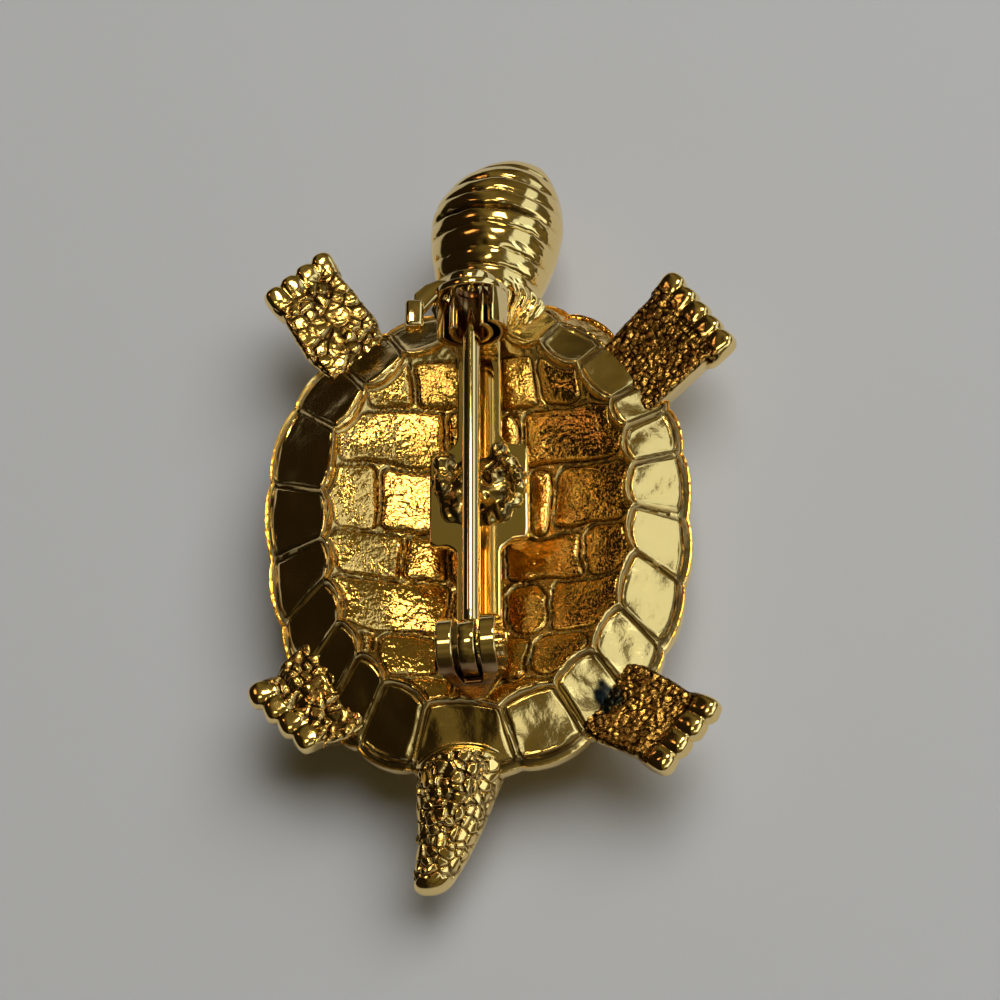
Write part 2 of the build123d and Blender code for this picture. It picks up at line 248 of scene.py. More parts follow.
def makeCastSkin():
    # sandy cast grain, tarnish deepened into painted shade in the grooves, painted shade on faces turned from the
    # light, and hairline scratches, one group for all the gold
    group = bpy.data.node_groups.new("castSkin", "ShaderNodeTree")
    for name, value in (("Gold", (1.0, 0.76, 0.33, 1)), ("Sand Gold", (1.0, 0.66, 0.22, 1)),
                        ("Tarnish And Shade Colour", (0.2, 0.09, 0.02, 1)), ("Stain Colour", (0.012, 0.016, 0.018, 1)),
                        ("Sandiness", 0.5), ("Tarnish And Shade", 0.0), ("Stain", 0.0), ("Grain Size", 9000.0),
                        ("Polish Roughness", 0.08), ("Sand Roughness", 0.3), ("Scratches", 0.3)):
        kind = "Color" if isinstance(value, tuple) else "Float"
        socket = group.interface.new_socket(name=name, in_out="INPUT", socket_type="NodeSocket" + kind)
        socket.default_value = value
    for name, kind in (("Colour", "Color"), ("Roughness", "Float"), ("Height", "Float")):
        group.interface.new_socket(name=name, in_out="OUTPUT", socket_type="NodeSocket" + kind)
    nodes, links = group.nodes, group.links
    given = nodes.new("NodeGroupInput")
    result = nodes.new("NodeGroupOutput")
    place = nodes.new("ShaderNodeTexCoord")

    def noiseNode(scale, factor, detail, squash=None):
        # the scale is a socket times a factor, or the factor alone
        texture = nodes.new("ShaderNodeTexNoise")
        texture.inputs["Detail"].default_value = detail
        texture.inputs["Scale"].default_value = factor
        if scale is not None:
            links.new(math("MULTIPLY", scale, factor), texture.inputs["Scale"])
        way = place.outputs["Object"]
        if squash:
            mapping = nodes.new("ShaderNodeMapping")
            mapping.inputs["Scale"].default_value = squash
            links.new(way, mapping.inputs["Vector"])
            way = mapping.outputs["Vector"]
        links.new(way, texture.inputs["Vector"])
        return texture.outputs["Fac"]

    def math(operation, a, b, clamp=False):
        node = nodes.new("ShaderNodeMath")
        node.operation = operation
        node.use_clamp = clamp
        for socket, value in zip(node.inputs, (a, b)):
            if isinstance(value, (int, float)):
                socket.default_value = value
            else:
                links.new(value, socket)
        return node.outputs[0]

    def mix(factor, a, b, colour=True):
        node = nodes.new("ShaderNodeMix")
        node.data_type = "RGBA" if colour else "FLOAT"
        links.new(factor, node.inputs["Factor"])
        links.new(a, node.inputs[6 if colour else 2])
        links.new(b, node.inputs[7 if colour else 3])
        return node.outputs[2 if colour else 0]

    look = castLook
    sandiness = given.outputs["Sandiness"]
    grain = noiseNode(given.outputs["Grain Size"], 1.0, 2)
    coarse = noiseNode(given.outputs["Grain Size"], look["coarseScale"], 2)
    patches = noiseNode(None, look["patches"], 3)
    hairs = noiseNode(None, look["hairs"], 2, look["hairSquash"])
    sandy = math("ADD", math("MULTIPLY", grain, look["fine"]), math("MULTIPLY", coarse, look["coarse"]))
    scratched = math("MULTIPLY", hairs, math("MULTIPLY", given.outputs["Scratches"], look["hairDepth"]))
    links.new(math("ADD", math("MULTIPLY", sandy, sandiness), scratched), result.inputs["Height"])

    def patchy(amount, share):
        return math("MULTIPLY", amount, math("ADD", math("MULTIPLY", patches, share[0]), share[1]), True)

    gold = mix(sandiness, given.outputs["Gold"], given.outputs["Sand Gold"])
    # how much of the tarnish and painted shade colour is mixed in, broken up by the patches
    tarnishAndShadeMix = patchy(given.outputs["Tarnish And Shade"], look["tarnishAndShadeMix"])
    stain = patchy(given.outputs["Stain"], look["stain"])
    colour = mix(stain, mix(tarnishAndShadeMix, gold, given.outputs["Tarnish And Shade Colour"]), given.outputs["Stain Colour"])
    links.new(colour, result.inputs["Colour"])

    rough = mix(sandiness, given.outputs["Polish Roughness"], given.outputs["Sand Roughness"], False)
    uneven = math("ADD", rough, math("MULTIPLY", math("SUBTRACT", patches, 0.5), look["uneven"]))
    dulled = math("ADD", uneven, math("MULTIPLY", tarnishAndShadeMix, look["dull"]), True)
    links.new(dulled, result.inputs["Roughness"])
    return group


castSkin = makeCastSkin()


def makeGold(name, look):
    # look: user values; "paint" reads the finish, with its tarnish and painted shade, set on the piece's points
    material = bpy.data.materials.new(name)
    material.use_nodes = True
    nodes, links = material.node_tree.nodes, material.node_tree.links
    shader = nodes["Principled BSDF"]
    shader.inputs["Metallic"].default_value = 1.0
    skin = nodes.new("ShaderNodeGroup")
    skin.node_tree = castSkin
    for socket in skin.inputs:
        if socket.name in look:
            socket.default_value = look[socket.name]
    if look.get("paint"):
        paint = nodes.new("ShaderNodeAttribute")
        paint.attribute_name = "finishAndShade"
        split = nodes.new("ShaderNodeSeparateColor")
        links.new(paint.outputs["Color"], split.inputs["Color"])
        for channel, target in (("Red", "Sandiness"), ("Green", "Tarnish And Shade"), ("Blue", "Stain")):
            links.new(split.outputs[channel], skin.inputs[target])
    links.new(skin.outputs["Colour"], shader.inputs["Base Color"])
    links.new(skin.outputs["Roughness"], shader.inputs["Roughness"])
    bump = nodes.new("ShaderNodeBump")
    bump.inputs["Strength"].default_value = look["bump"]
    bump.inputs["Distance"].default_value = look["bumpDepth"]
    links.new(skin.outputs["Height"], bump.inputs["Height"])
    links.new(bump.outputs["Normal"], shader.inputs["Normal"])
    return material


# each tarnish colour is darker than tarnish alone, so that it paints the shade in the grooves and on faces turned
# from the light
shellGold = makeGold("shellGold", {
    "paint": True, "Tarnish And Shade Colour": (0.06, 0.022, 0.005, 1), "Grain Size": 7500.0, "Polish Roughness": 0.2,
    "Sand Roughness": 0.07, "Scratches": 0.25, "bump": 0.85, "bumpDepth": 0.00006})
limbGold = makeGold("limbGold", {
    "paint": True, "Tarnish And Shade Colour": (0.03, 0.012, 0.004, 1), "Sand Gold": (1.0, 0.58, 0.17, 1), "Grain Size": 8500.0,
    "Polish Roughness": 0.12, "Sand Roughness": 0.17, "Scratches": 0.1, "bump": 0.5, "bumpDepth": 0.00005})
findingGold = makeGold("findingGold", {
    "paint": True, "Tarnish And Shade Colour": (0.13, 0.04, 0.015, 1), "Gold": (1.0, 0.78, 0.38, 1), "Polish Roughness": 0.08,
    "Scratches": 0.5, "bump": 0.25, "bumpDepth": 0.00002})
print("finishes made")


# shell
shellLook = {
    "halfWidth": 11.6, "stretch": 29.4 / 23.2, "squareness": 2.3, "ringShare": 0.754, "ringBow": 0.5,
    "marginDrop": 1.8, "edgeBottom": -2.8, "depth": 6.3, "crownFlat": 0.2, "dishDepth": 2.2,
    "scallop": 0.26, "shoulder": 1.2, "shoulderTurn": 152, "shoulderSpread": 55,
    # lines of the grids that the dish, the dome and the margin are drawn from
    "dishLines": (290, 290), "domeLines": (190, 190), "marginLines": (960, 84),
    # the ring between dish and margin, its size at turns in degrees round the shell from +X
    "ringTurns": (0, 26, 45, 61, 90, 111, 132, 150, 165, 180, 200, 220, 240, 265, 290, 312, 332, 346, 360),
    "ringSizes": (8.85, 9.4, 9.35, 9.4, 9.7, 9.8, 9.7, 9.7, 9.05, 8.7, 8.75, 8.9, 9.1, 9.2, 9.45, 9.5, 9.35,
                  9.15, 8.85),
    # seams between the marginal scutes, degrees round the shell from +X
    "seams": (67, 51, 34, 24, 12, -1, -15, -32, -47, -63, -82,
              -107, -124, -137, -150, -165, -179, -194, -213, -229, -245, -262, -279),
}
ringRadius = shellLook["ringShare"] * shellLook["halfWidth"]
seamRing = np.array(sorted(turn % 360 for turn in shellLook["seams"]))
seamRing = np.concatenate([[seamRing[-1] - 360], seamRing, [seamRing[0] + 360]])
stainLook = {"place": (7.1, -11.3, -1.3), "size": 1.05, "edge": 0.4, "ragged": 0.3, "raggedSize": 0.5}


def stainOn(spots):
    # the dark spot where a foot meets the shell
    look = stainLook
    away = np.linalg.norm((spots - np.array(look["place"])) * (1, 1, 0.4), axis=1)
    return smoothStep((look["size"] - away + look["ragged"] * lumps(spots, look["raggedSize"], 5.0)) / look["edge"])


def scallops(across):
    # 0 at a seam, 1 over the middle of a scute
    return (4 * across * (1 - across)) ** 0.7


def wayRound(turn):
    return np.cos(np.radians(turn)), np.sin(np.radians(turn))


def outline(turn, across):
    # scalloped, rounded square outline in the round plan, fuller at the left shoulder
    c, s = wayRound(turn)
    power = 2 / shellLook["squareness"]
    off = (turn - shellLook["shoulderTurn"] + 180) % 360 - 180
    swell = np.cos(np.radians(90 * np.clip(off / shellLook["shoulderSpread"], -1, 1))) ** 2
    radius = shellLook["halfWidth"] + shellLook["scallop"] * scallops(across) + shellLook["shoulder"] * swell
    return np.copysign(np.abs(c) ** power, c) * radius, np.copysign(np.abs(s) ** power, s) * radius


def seamShare(turn):
    # where a turn lies between its two seams, 0 to 1, the degrees between them and the scute's number
    turn = turn % 360
    number = np.clip(np.searchsorted(seamRing, turn, side="right") - 1, 0, len(seamRing) - 2)
    start, end = seamRing[number], seamRing[number + 1]
    return (turn - start) / (end - start), end - start, number


def ringSize(turn):
    return np.interp(turn % 360, shellLook["ringTurns"], shellLook["ringSizes"])


def squareToDisc(spots):
    # a square grid from -1 to 1 is drawn into a disc without a pole
    u, v = spots[:, 0], spots[:, 1]
    x, y = u * np.sqrt(1 - v * v / 2), v * np.sqrt(1 - u * u / 2)
    return np.hypot(x, y), np.degrees(np.arctan2(y, x))


def insideCorner(a, b, corner):
    # distance inside two borders that meet in a rounded corner
    near = np.minimum(a, b)
    rounded = corner - np.hypot(corner - np.minimum(a, corner), corner - np.minimum(b, corner))
    return np.where((a < corner) & (b < corner), rounded, near)


dishLook = {
    "overlap": 0.35, "slant": 0.08, "corner": 0.5, "cornerSpread": 0.9, "ringCorner": 0.55, "ringGap": 0.05,
    "thread": 0.06, "beads": (0.5, 1.1), "beadSize": 0.3, "groove": 0.15, "grooveHalf": 0.14, "rimFall": 0.06,
    "crown": 0.17, "crownRun": 0.8, "crownStart": 0.1, "edge": 0.12, "edgeRun": 0.3, "tilt": 0.16, "tiltSize": 2.6,
    # how the borders wander, across and along: height, size and seed
    "wander": (((0.24, 2.6, 3.0), (0.096, 0.9, 5.0)), ((0.24, 2.4, 9.0), (0.096, 0.9, 7.0))),
    "ripple": 0.02, "rippleSize": 0.17, "coarse": 0.8, "coarseSize": 0.4, "sandRun": 0.1,
    # the relief's share at the ring and how soon it is full, the ripple's share on the borders
    "atRing": 0.35, "ringRun": 0.8, "onBorder": 0.3, "tuck": 0.5, "tuckRun": 0.2, "tuckSlope": 0.75,
    "skirt": ((-0.4, (0.97, 0.97, 1)), (-2.2, (0.8, 0.8, 0.1))),
    # rows: top and bottom as shares of the ring's half length, and the upright seams across the row
    "rows": ((0.97, 0.69, (-0.43, -0.10, 0.11, 0.385, 0.71)),
             (0.69, 0.37, (-0.23, 0.095, 0.26)),
             (0.37, 0.00, (-0.66, -0.23, 0.06, 0.29, 0.46)),
             (0.00, -0.28, (-0.515, -0.23, 0.137, 0.657)),
             (-0.28, -0.59, (-0.21, 0.137, 0.434)),
             (-0.59, -0.86, (-0.657, -0.26, 0.10, 0.317, 0.72)),
             (-0.86, -1.2, (-0.14, 0.06))),
}


def cellDistance(x, y):
    # distance inside the border of the nearest plastron cell, and the cell's number
    level = y + dishLook["slant"] * x
    inside = np.full(len(x), -1.0)
    number = np.zeros(len(x))
    for row, (top, bottom, seams) in enumerate(dishLook["rows"]):
        edges = (-1.3,) + seams + (1.3,)
        for cell, (left, right) in enumerate(zip(edges[:-1], edges[1:])):
            fromSide = np.minimum(x - left * ringRadius, right * ringRadius - x)
            fromEnd = np.minimum(top * ringRadius - level, level - bottom * ringRadius) * shellLook["stretch"]
            corner = dishLook["corner"] + dishLook["cornerSpread"] * ((row * 8 + cell) * 0.377 % 1) ** 2
            distance = insideCorner(fromSide, fromEnd, corner)
            better = distance > inside
            inside = np.where(better, distance, inside)
            number = np.where(better, row * 8 + cell, number)
    return inside, number


def makeDish():
    look = dishLook
    piece = gridPiece("plastron", *shellLook["dishLines"])
    share, turn = squareToDisc(readPoints(piece))
    across = seamShare(turn)[0]
    size = ringSize(turn)
    radius = share * (size + look["overlap"])
    east, north = wayRound(turn)
    planX, planY = radius * east, radius * north
    stretch = shellLook["stretch"]
    flat = asPoints(planX, planY * stretch, 0)

    # the hollow of a ball, and the distance inside the border of the nearest cell
    reach = np.minimum(radius / size, 1.05) * ringRadius
    ball = (ringRadius ** 2 + shellLook["dishDepth"] ** 2) / (2 * shellLook["dishDepth"])
    dish = np.minimum(ball - shellLook["dishDepth"] - np.sqrt(ball ** 2 - reach ** 2), 0)
    bentX, bentY = (plan + layers(flat, rows) for plan, rows in zip((planX, planY), look["wander"]))
    inside, number = cellDistance(bentX, bentY)
    fromRing = size - shellLook["ringBow"] * scallops(across) - radius
    inside = insideCorner(inside, fromRing - look["ringGap"], look["ringCorner"])

    # a beaded border, a pillow with its own tilt, and the ripple of the sand
    beads = look["beads"][0] + look["beads"][1] * lumps(flat, look["beadSize"], 15.0)
    border = seamLine(inside, look["thread"] * beads, look["groove"], look["grooveHalf"])
    bulge = look["crown"] * (1 - np.exp(-np.maximum(inside - look["crownStart"], 0) / look["crownRun"]))
    onCell = smoothStep((inside - look["edge"]) / look["edgeRun"])
    ownTilt = look["tilt"] * lumps(flat + np.outer(number, (37.0, 0, 0)), look["tiltSize"])
    cells = border - look["rimFall"] * (1 - onCell) + bulge + onCell * ownTilt - look["crown"]
    sandy = smoothStep((inside - look["crownStart"]) / look["sandRun"])
    ripple = lumps(flat, look["rippleSize"], 2.0, (2.3, 1, 1))
    ripple = look["ripple"] * (ripple + look["coarse"] * lumps(flat, look["coarseSize"], 4.0, (1.6, 0.8, 1)))
    atRing = look["atRing"] + (1 - look["atRing"]) * smoothStep(fromRing / look["ringRun"])
    tuck = look["tuck"] * smoothStep((0.02 - fromRing) / look["tuckRun"])
    tuck = np.where(fromRing < 0.02, tuck + look["tuckSlope"] * np.maximum(-fromRing, 0), 0)
    height = dish + cells * atRing + ripple * (look["onBorder"] + (1 - look["onBorder"]) * sandy) - tuck
    writePoints(piece, asPoints(planX, planY * stretch, height))
    # tarnish in the grooves and on the borders, its colour deepened into painted shade
    deep = hump(inside - look["grooveHalf"], 0.09) + 0.3 * (inside < 0.05)
    paintFinishAndShade(piece, 0.25 + 0.75 * sandy, np.clip(deep, 0, 1))
    closeUnder(piece, look["skirt"])
    return settle(piece, shellGold, 60)


marginLook = {
    # how far across the grid the inner wall, the top and the outer wall end
    "innerWall": 0.06, "outerWall": 0.80, "under": 0.94,
    "ringThread": 0.12, "ringPlace": 0.1, "ringWidth": 0.11, "beads": (0.65, 0.9), "beadSize": 0.5,
    "ringRim": 0.14, "outerRim": 0.34, "stripFall": 0.3, "stripRun": 0.12, "rimGroove": 0.14, "grain": 0.025,
    "thread": 0.07, "groove": 0.15, "grooveHalf": 0.15, "corner": 0.3, "edge": 0.2, "edgeRun": 0.25,
    "crooked": ((0.05, 1.3, 13.0), (0.02, 0.4, 17.0)), "tilt": 0.22, "tiltSize": 3.4,
    "facets": ((0.1, 1.5, 31.0), (0.01, 0.45, 33.0), (0.003, 0.16, 35.0)),
    "belly": 0.08, "tuck": 0.24, "lowShare": 0.985, "lowHeight": -0.6, "startShare": 0.994,
    # the broad sandy slope outside the first pad by the head
    "slopeTurn": 58, "slopeSpread": 12, "slopeWidth": 0.9, "slopeGrain": 0.03,
}


def makeMargin():
    look = marginLook
    piece = gridPiece("marginScutes", *shellLook["marginLines"])
    spots = readPoints(piece)
    turn, way = (spots[:, 0] + 1) * 180.0, (spots[:, 1] + 1) / 2
    across, span, scute = seamShare(turn)
    east, north = wayRound(turn)
    stretch = shellLook["stretch"]
    inner = ringSize(turn) - shellLook["ringBow"] * scallops(across)
    innerX, innerY = inner * east, inner * north * stretch
    outerX, outerY = outline(turn, across)
    outerY = outerY * stretch
    width = np.hypot(outerX - innerX, outerY - innerY)

    # how far a point is up the inner wall, over the top, down the outer wall and back underneath
    first, last, under = look["innerWall"], look["outerWall"], look["under"]
    rise = np.clip(way / first, 0, 1)
    top = np.clip((way - first) / (last - first), 0, 1)
    wall = np.clip((way - last) / (under - last), 0, 1)
    below = np.clip((way - under) / (1 - under), 0, 1)[:, None]
    fromIn, fromOut = top * width, (1 - top) * width
    place = asPoints(innerX + (outerX - innerX) * top, innerY + (outerY - innerY) * top, 0)

    # distances inside the border of a pad, and on the strip outside it
    length = np.radians(span) * (inner + fromIn) * (1 + (stretch - 1) * east ** 2)
    crooked = layers(place, look["crooked"])
    fromSeam = np.minimum(across, 1 - across) * length + crooked
    slope = np.exp(-((turn - look["slopeTurn"]) / look["slopeSpread"]) ** 4)
    rim = look["outerRim"] + look["slopeWidth"] * slope
    fromRim = fromOut - rim
    pad = insideCorner(fromSeam, np.minimum(fromIn - look["ringRim"], fromRim) + crooked, look["corner"])
    strip = smoothStep(-fromRim / look["stripRun"])

    border = seamLine(pad, look["thread"], look["groove"], look["grooveHalf"])
    beads = look["beads"][0] + look["beads"][1] * lumps(place, look["beadSize"], 15.0)
    thread = look["ringThread"] * beads * hump(fromIn - look["ringPlace"], look["ringWidth"])
    onPad = smoothStep((pad - look["edge"]) / look["edgeRun"])
    ownTilt = look["tilt"] * lumps(place + np.outer(scute * 29.0, (1, 0, 0)), look["tiltSize"])
    skin = border * (1 - strip) + thread + onPad * (ownTilt + layers(place, look["facets"])) * (1 - strip)
    skin -= look["rimGroove"] * hump(fromRim + 0.02, 0.07) + strip * look["stripFall"] * (1 - fromOut / rim)
    skin += (look["grain"] + look["slopeGrain"] * slope) * strip * lumps(place, 0.3, 37.0)

    edgeHeight = -shellLook["marginDrop"] - look["stripFall"]
    height = skin * smoothStep(fromIn / 0.06 + 0.2) * (1 - np.exp(-fromOut / 0.05)) - shellLook["marginDrop"] * top
    height = np.where(top >= 1, edgeHeight + (shellLook["edgeBottom"] - edgeHeight) * wall, height)
    belly = look["belly"] * np.sin(pi * wall) * (wall < 1)
    away = np.maximum(np.hypot(place[:, 0], place[:, 1]), 1)
    place[:, :2] *= (1 + (belly - look["tuck"] * wall) / away)[:, None]
    low = asPoints(innerX * look["lowShare"], innerY * look["lowShare"], look["lowHeight"])
    start = asPoints(innerX * look["startShare"], innerY * look["startShare"], 0)
    spots = asPoints(place[:, 0], place[:, 1], height) * (1 - below) + low * below
    spots = np.where((way < first)[:, None], low * (1 - rise)[:, None] + start * rise[:, None], spots)
    writePoints(piece, spots)
    # tarnish in the seams between the pads and in the rim groove, its colour deepened into painted shade
    deep = hump(pad - look["grooveHalf"], 0.11) * (1 - strip) + hump(fromRim, 0.1)
    sand = np.clip(0.16 * onPad + 0.04 + 0.95 * slope * strip, 0, 1)
    paintFinishAndShade(piece, sand, np.clip(deep, 0, 1) * (top < 1) * 0.85, stainOn(spots))
    recalculate(piece)
    return settle(piece, shellGold, 60)


domeLook = {
    "inset": 0.98, "relief": 0.25, "seam": 0.2, "seamRun": 0.22, "crown": 0.12, "crownRun": 0.9,
    # ends and waist of the vertebral scutes, the costal ones' rim and fan, as shares of the half width
    "vertebralEnd": 0.24, "vertebralWaist": 0.36, "costalRim": 0.80, "costalFan": 1.15,
    "ends": (0.70, 0.42, 0.14, -0.14, -0.42, -0.70),
    "ring": 0.05, "ringPitch": 0.62, "ringRun": 0.4, "grain": ((1, 0.45, 41.0), (0.5, 0.25, 43.0)),
    "grainHeight": 0.03, "skirt": ((0.12, (0.98, 0.98, 1)),),
}


def segmentDistance(x, y, start, end):
    run = np.array(end) - np.array(start)
    share = np.clip(((x - start[0]) * run[0] + (y - start[1]) * run[1]) / (run @ run), 0, 1)
    return np.hypot(x - start[0] - share * run[0], y - start[1] - share * run[1])


def makeCarapace():
    look = domeLook
    piece = gridPiece("carapace", *shellLook["domeLines"])
    share, turn = squareToDisc(readPoints(piece))
    across, span = seamShare(turn)[:2]
    planX, planY = (plan * share * look["inset"] for plan in outline(turn, across))
    stretch, half, bottom = shellLook["stretch"], shellLook["halfWidth"], shellLook["edgeBottom"]
    flat = asPoints(planX, planY * stretch, 0)
    radius = np.hypot(planX, planY)
    drop = shellLook["depth"] + shellLook["crownFlat"] + bottom
    ball = (half ** 2 + drop ** 2) / (2 * drop)
    dome = bottom + ball - drop - np.sqrt(np.maximum(ball ** 2 - radius ** 2, 0))
    dome = np.minimum(dome, bottom + 0.25 * (radius / half - 1))

    # distance to the nearest seam between the scutes
    narrow, wide, ring = (look[key] * half for key in ("vertebralEnd", "vertebralWaist", "costalRim"))
    levels = [share * half for share in look["ends"]]
    near = np.abs(radius - ring + look["seam"])
    for level in levels:
        near = np.minimum(near, segmentDistance(planX, planY, (-narrow, level), (narrow, level)))
    for upper, lower in zip(levels[:-1], levels[1:]):
        middle = (upper + lower) / 2
        far = look["costalFan"] * middle
        for side in (-1, 1):
            corner = (side * wide, middle)
            for end in ((side * narrow, upper), (side * narrow, lower), (side * (ring ** 2 - far ** 2) ** 0.5, far)):
                near = np.minimum(near, segmentDistance(planX, planY, corner, end))
    fromSeam = np.minimum(across, 1 - across) * np.radians(span) * radius
    near = np.minimum(near, np.where(radius > ring, fromSeam, 9.0))
    inside = near - look["seam"]

    # raised scutes with growth rings
    raised = smoothStep(inside / look["seamRun"])
    rings = look["ring"] * np.sin(inside * 2 * pi / look["ringPitch"]) * smoothStep(inside / look["ringRun"])
    pillow = look["crown"] * (1 - np.exp(-np.maximum(inside, 0) / look["crownRun"]))
    depth = look["relief"] * (1 - raised) + look["crown"] - pillow - rings * raised
    depth += look["grainHeight"] * layers(flat, look["grain"]) * raised + 0.03
    edge = smoothStep((1 - share) * half / 0.4)
    height = np.maximum(dome + np.maximum(depth, 0) * edge, -shellLook["depth"])
    writePoints(piece, asPoints(planX, planY * stretch, height))
    # tarnish in the seams between the scutes, its colour deepened into painted shade
    paintFinishAndShade(piece, 0.2 + 0.3 * raised, (1 - raised) * edge)
    closeUnder(piece, look["skirt"])
    return settle(piece, shellGold, 60)


plastron = makeDish()
marginScutes = makeMargin()
carapace = makeCarapace()
print("shell made")


# head
headLook = {
    "width": 7.72, "height": 6.0, "reach": 9.48, "place": (0.55, 14.7, -1.3), "turn": -6.0, "start": -0.35,
    "neck": 0.72, "belly": 0.52, "snoutPower": 0.58, "snoutSkew": 0.7, "collarWide": 0.25, "collarFlat": 0.12,
    "rings": 210, "segments": 200,
    # throat folds: lines across the throat as shares of the reach, and the one deep line
    "folds": (-0.5, 0.0, 0.12, 0.235, 0.395, 0.51, 0.63, 0.74, 0.86, 1.2), "deepFold": 0.51,
    "foldDepth": 0.06, "foldWidth": 0.09, "foldSwell": 0.055, "foldBow": 0.02, "foldFall": 0.05,
    "foldWander": ((0.013, 1.5, 51.0), (0.006, 0.5, 53.0)), "deepDepth": 0.26, "deepWidth": 0.17,
    "marks": 0.03, "markSize": 0.13, "crease": 0.24, "creases": 4.3, "mouth": 0.16, "scales": 0.08,
    # eyes as shares of width, reach and height, then how far eye and lid stand out, and their size
    "eye": (0.36, 0.62, -0.24), "eyeRise": 0.34, "eyeSize": 0.72, "lid": 0.12, "lidSize": 0.85,
    "nostril": 0.12, "nostrilSize": 0.2,
}


def headSwell(along):
    neck, belly = headLook["neck"], headLook["belly"]
    front = np.clip((along - belly) / (1 - belly), 0, 1)
    back = np.clip((belly - along) / belly, 0, 2)
    return np.where(along < belly, 1 - (1 - neck) * back ** 1.8, (1 - front ** 2) ** headLook["snoutPower"])


def makeHead():
    look = headLook
    piece, share, ux, uz = sphereAlongY("head", look["rings"], look["segments"])
    reach = look["reach"]
    along = look["start"] + (1 - look["start"]) * share
    swell = headSwell(along) * smoothStep((along - look["start"]) / 0.05)
    collar = smoothStep((0.05 - along) / 0.1)
    halfWidth = swell * look["width"] / 2 * (1 + look["collarWide"] * collar)
    halfHeight = swell * look["height"] / 2 * (1 - look["collarFlat"] * collar)
    skew = look["snoutSkew"] * np.clip((along - 0.62) / 0.38, 0, 1) ** 1.5
    spots = asPoints(ux * halfWidth + skew, along * reach, uz * halfHeight)

    # throat folds: puffed bands between wavering lines, finer towards the snout
    under = smoothStep((uz - 0.08) * 2.4)
    line = along + look["foldBow"] * ux ** 2 + look["foldFall"] * np.maximum(ux, 0) ** 2
    line += layers(spots, look["foldWander"])
    folds = np.array(look["folds"])
    band = np.clip(np.searchsorted(folds, line, side="right") - 1, 0, len(folds) - 2)
    share = folds[band + 1] - folds[band]
    wide = share * reach
    place = (line - folds[band]) / share
    fromFold = np.minimum(place, 1 - place) * wide
    puff = (1 - np.abs(2 * place - 1) ** 2.6) * (0.03 + look["foldSwell"] * np.minimum(wide, 1.5))
    puff = puff * (1 + 0.7 * lumps(spots, 2.2, 55.0))
    broken = smoothStep(0.75 + 1.2 * lumps(spots, 1.8, 56.0))
    cut = look["foldDepth"] * hump(fromFold, look["foldWidth"]) * broken
    deep = look["deepDepth"] * hump((line - look["deepFold"]) * reach, look["deepWidth"])
    deep = deep * smoothStep((0.85 - np.abs(ux + 0.05)) / 0.25)
    fade = smoothStep((along + 0.05) / 0.06) * smoothStep((1.0 - along) / 0.1)
    push = (puff - cut - deep) * under * fade + 0.03 * lumps(spots, 1.1, 57.0) * under
    # file marks on the right of the throat
    across, length = spots[:, 0] * 0.55 + spots[:, 1] * 0.83, spots[:, 0] * 0.83 - spots[:, 1] * 0.55
    marks = lumps(asPoints(across, length * 0.12, spots[:, 2] * 0.3), look["markSize"], 59.0)
    push += look["marks"] * marks * smoothStep((ux - 0.35) / 0.2) * smoothStep((0.56 - along) / 0.1) * under
    # creases of the collar
    angle = np.arctan2(uz, ux)
    crease = np.abs((angle * look["creases"] + 0.35 * lumps(spots, 1.4, 65.0)) % 1 - 0.5) * 2
    push += look["crease"] * (crease - 0.5) * collar * smoothStep((along + 0.3) / 0.1)
    # mouth, eyes, nostrils and scales on the side that faces the cloth
    hidden = smoothStep(-uz * 2 - 0.5)
    mouth = hump(uz + 0.12 - 0.1 * (along - 0.8), 0.05) * smoothStep((along - 0.55) / 0.1)
    push -= look["mouth"] * mouth * (np.abs(uz) < 0.6)
    push += 0.02 * lumps(spots, 0.9, 61.0) + look["scales"] * chips(spots, 1.1, 63.0)[1] * hidden
    for side in (-1, 1):
        eye = np.array(look["eye"]) * (side * look["width"], reach, look["height"])
        away = np.linalg.norm(spots - eye, axis=1)
        push += look["eyeRise"] * np.sqrt(np.clip(1 - (away / look["eyeSize"]) ** 2, 0, 1))
        push -= look["lid"] * hump(away - look["lidSize"], 0.12)
        nostril = np.array([side * 0.75 + 0.5, 0.95 * reach, -0.5])
        push -= look["nostril"] * hump(np.linalg.norm(spots - nostril, axis=1), look["nostrilSize"])
    writePoints(piece, spots)
    writePoints(piece, spots + readNormals(piece) * push[:, None])
    # tarnish in the folds and the deep line, its colour deepened into painted shade
    paintFinishAndShade(piece, 0.04 + 0.5 * hidden, np.clip((cut + deep) / 0.16, 0, 1) * under * fade * 0.9)
    turned = Matrix.Rotation(radians(look["turn"]), 4, "Z")
    piece.data.transform(Matrix.Translation(look["place"]) @ turned)
    recalculate(piece)
    return settle(piece, limbGold, 70)


head = makeHead()
print("head made")


# feet
feetLook = {
    "length": 6.0, "halfAnkle": 2.7, "halfFront": 2.7, "thickness": 1.9, "root": 2.2, "rootWidth": 0.8,
    "shellSize": (11.6, 14.7), "top": -1.1, "toeZone": 1.5, "toeSink": 0.4, "tuck": 0.8, "bevel": 0.38,
    "toeLength": 2.4, "toeReach": 0.34, "toePower": (0.55, 0.7, 0.6), "toeFill": 1.2, "toeHeight": 0.6,
    "toeFan": 9, "toeLevel": -0.62, "voxel": 0.07,
    # the last of these is how much painted shade darkens the sandy soles
    "lowest": -0.2, "highest": 0.1, "grain": 0.03, "flank": 0.1, "waves": 0.03, "tarnishAndShade": 0.75,
}
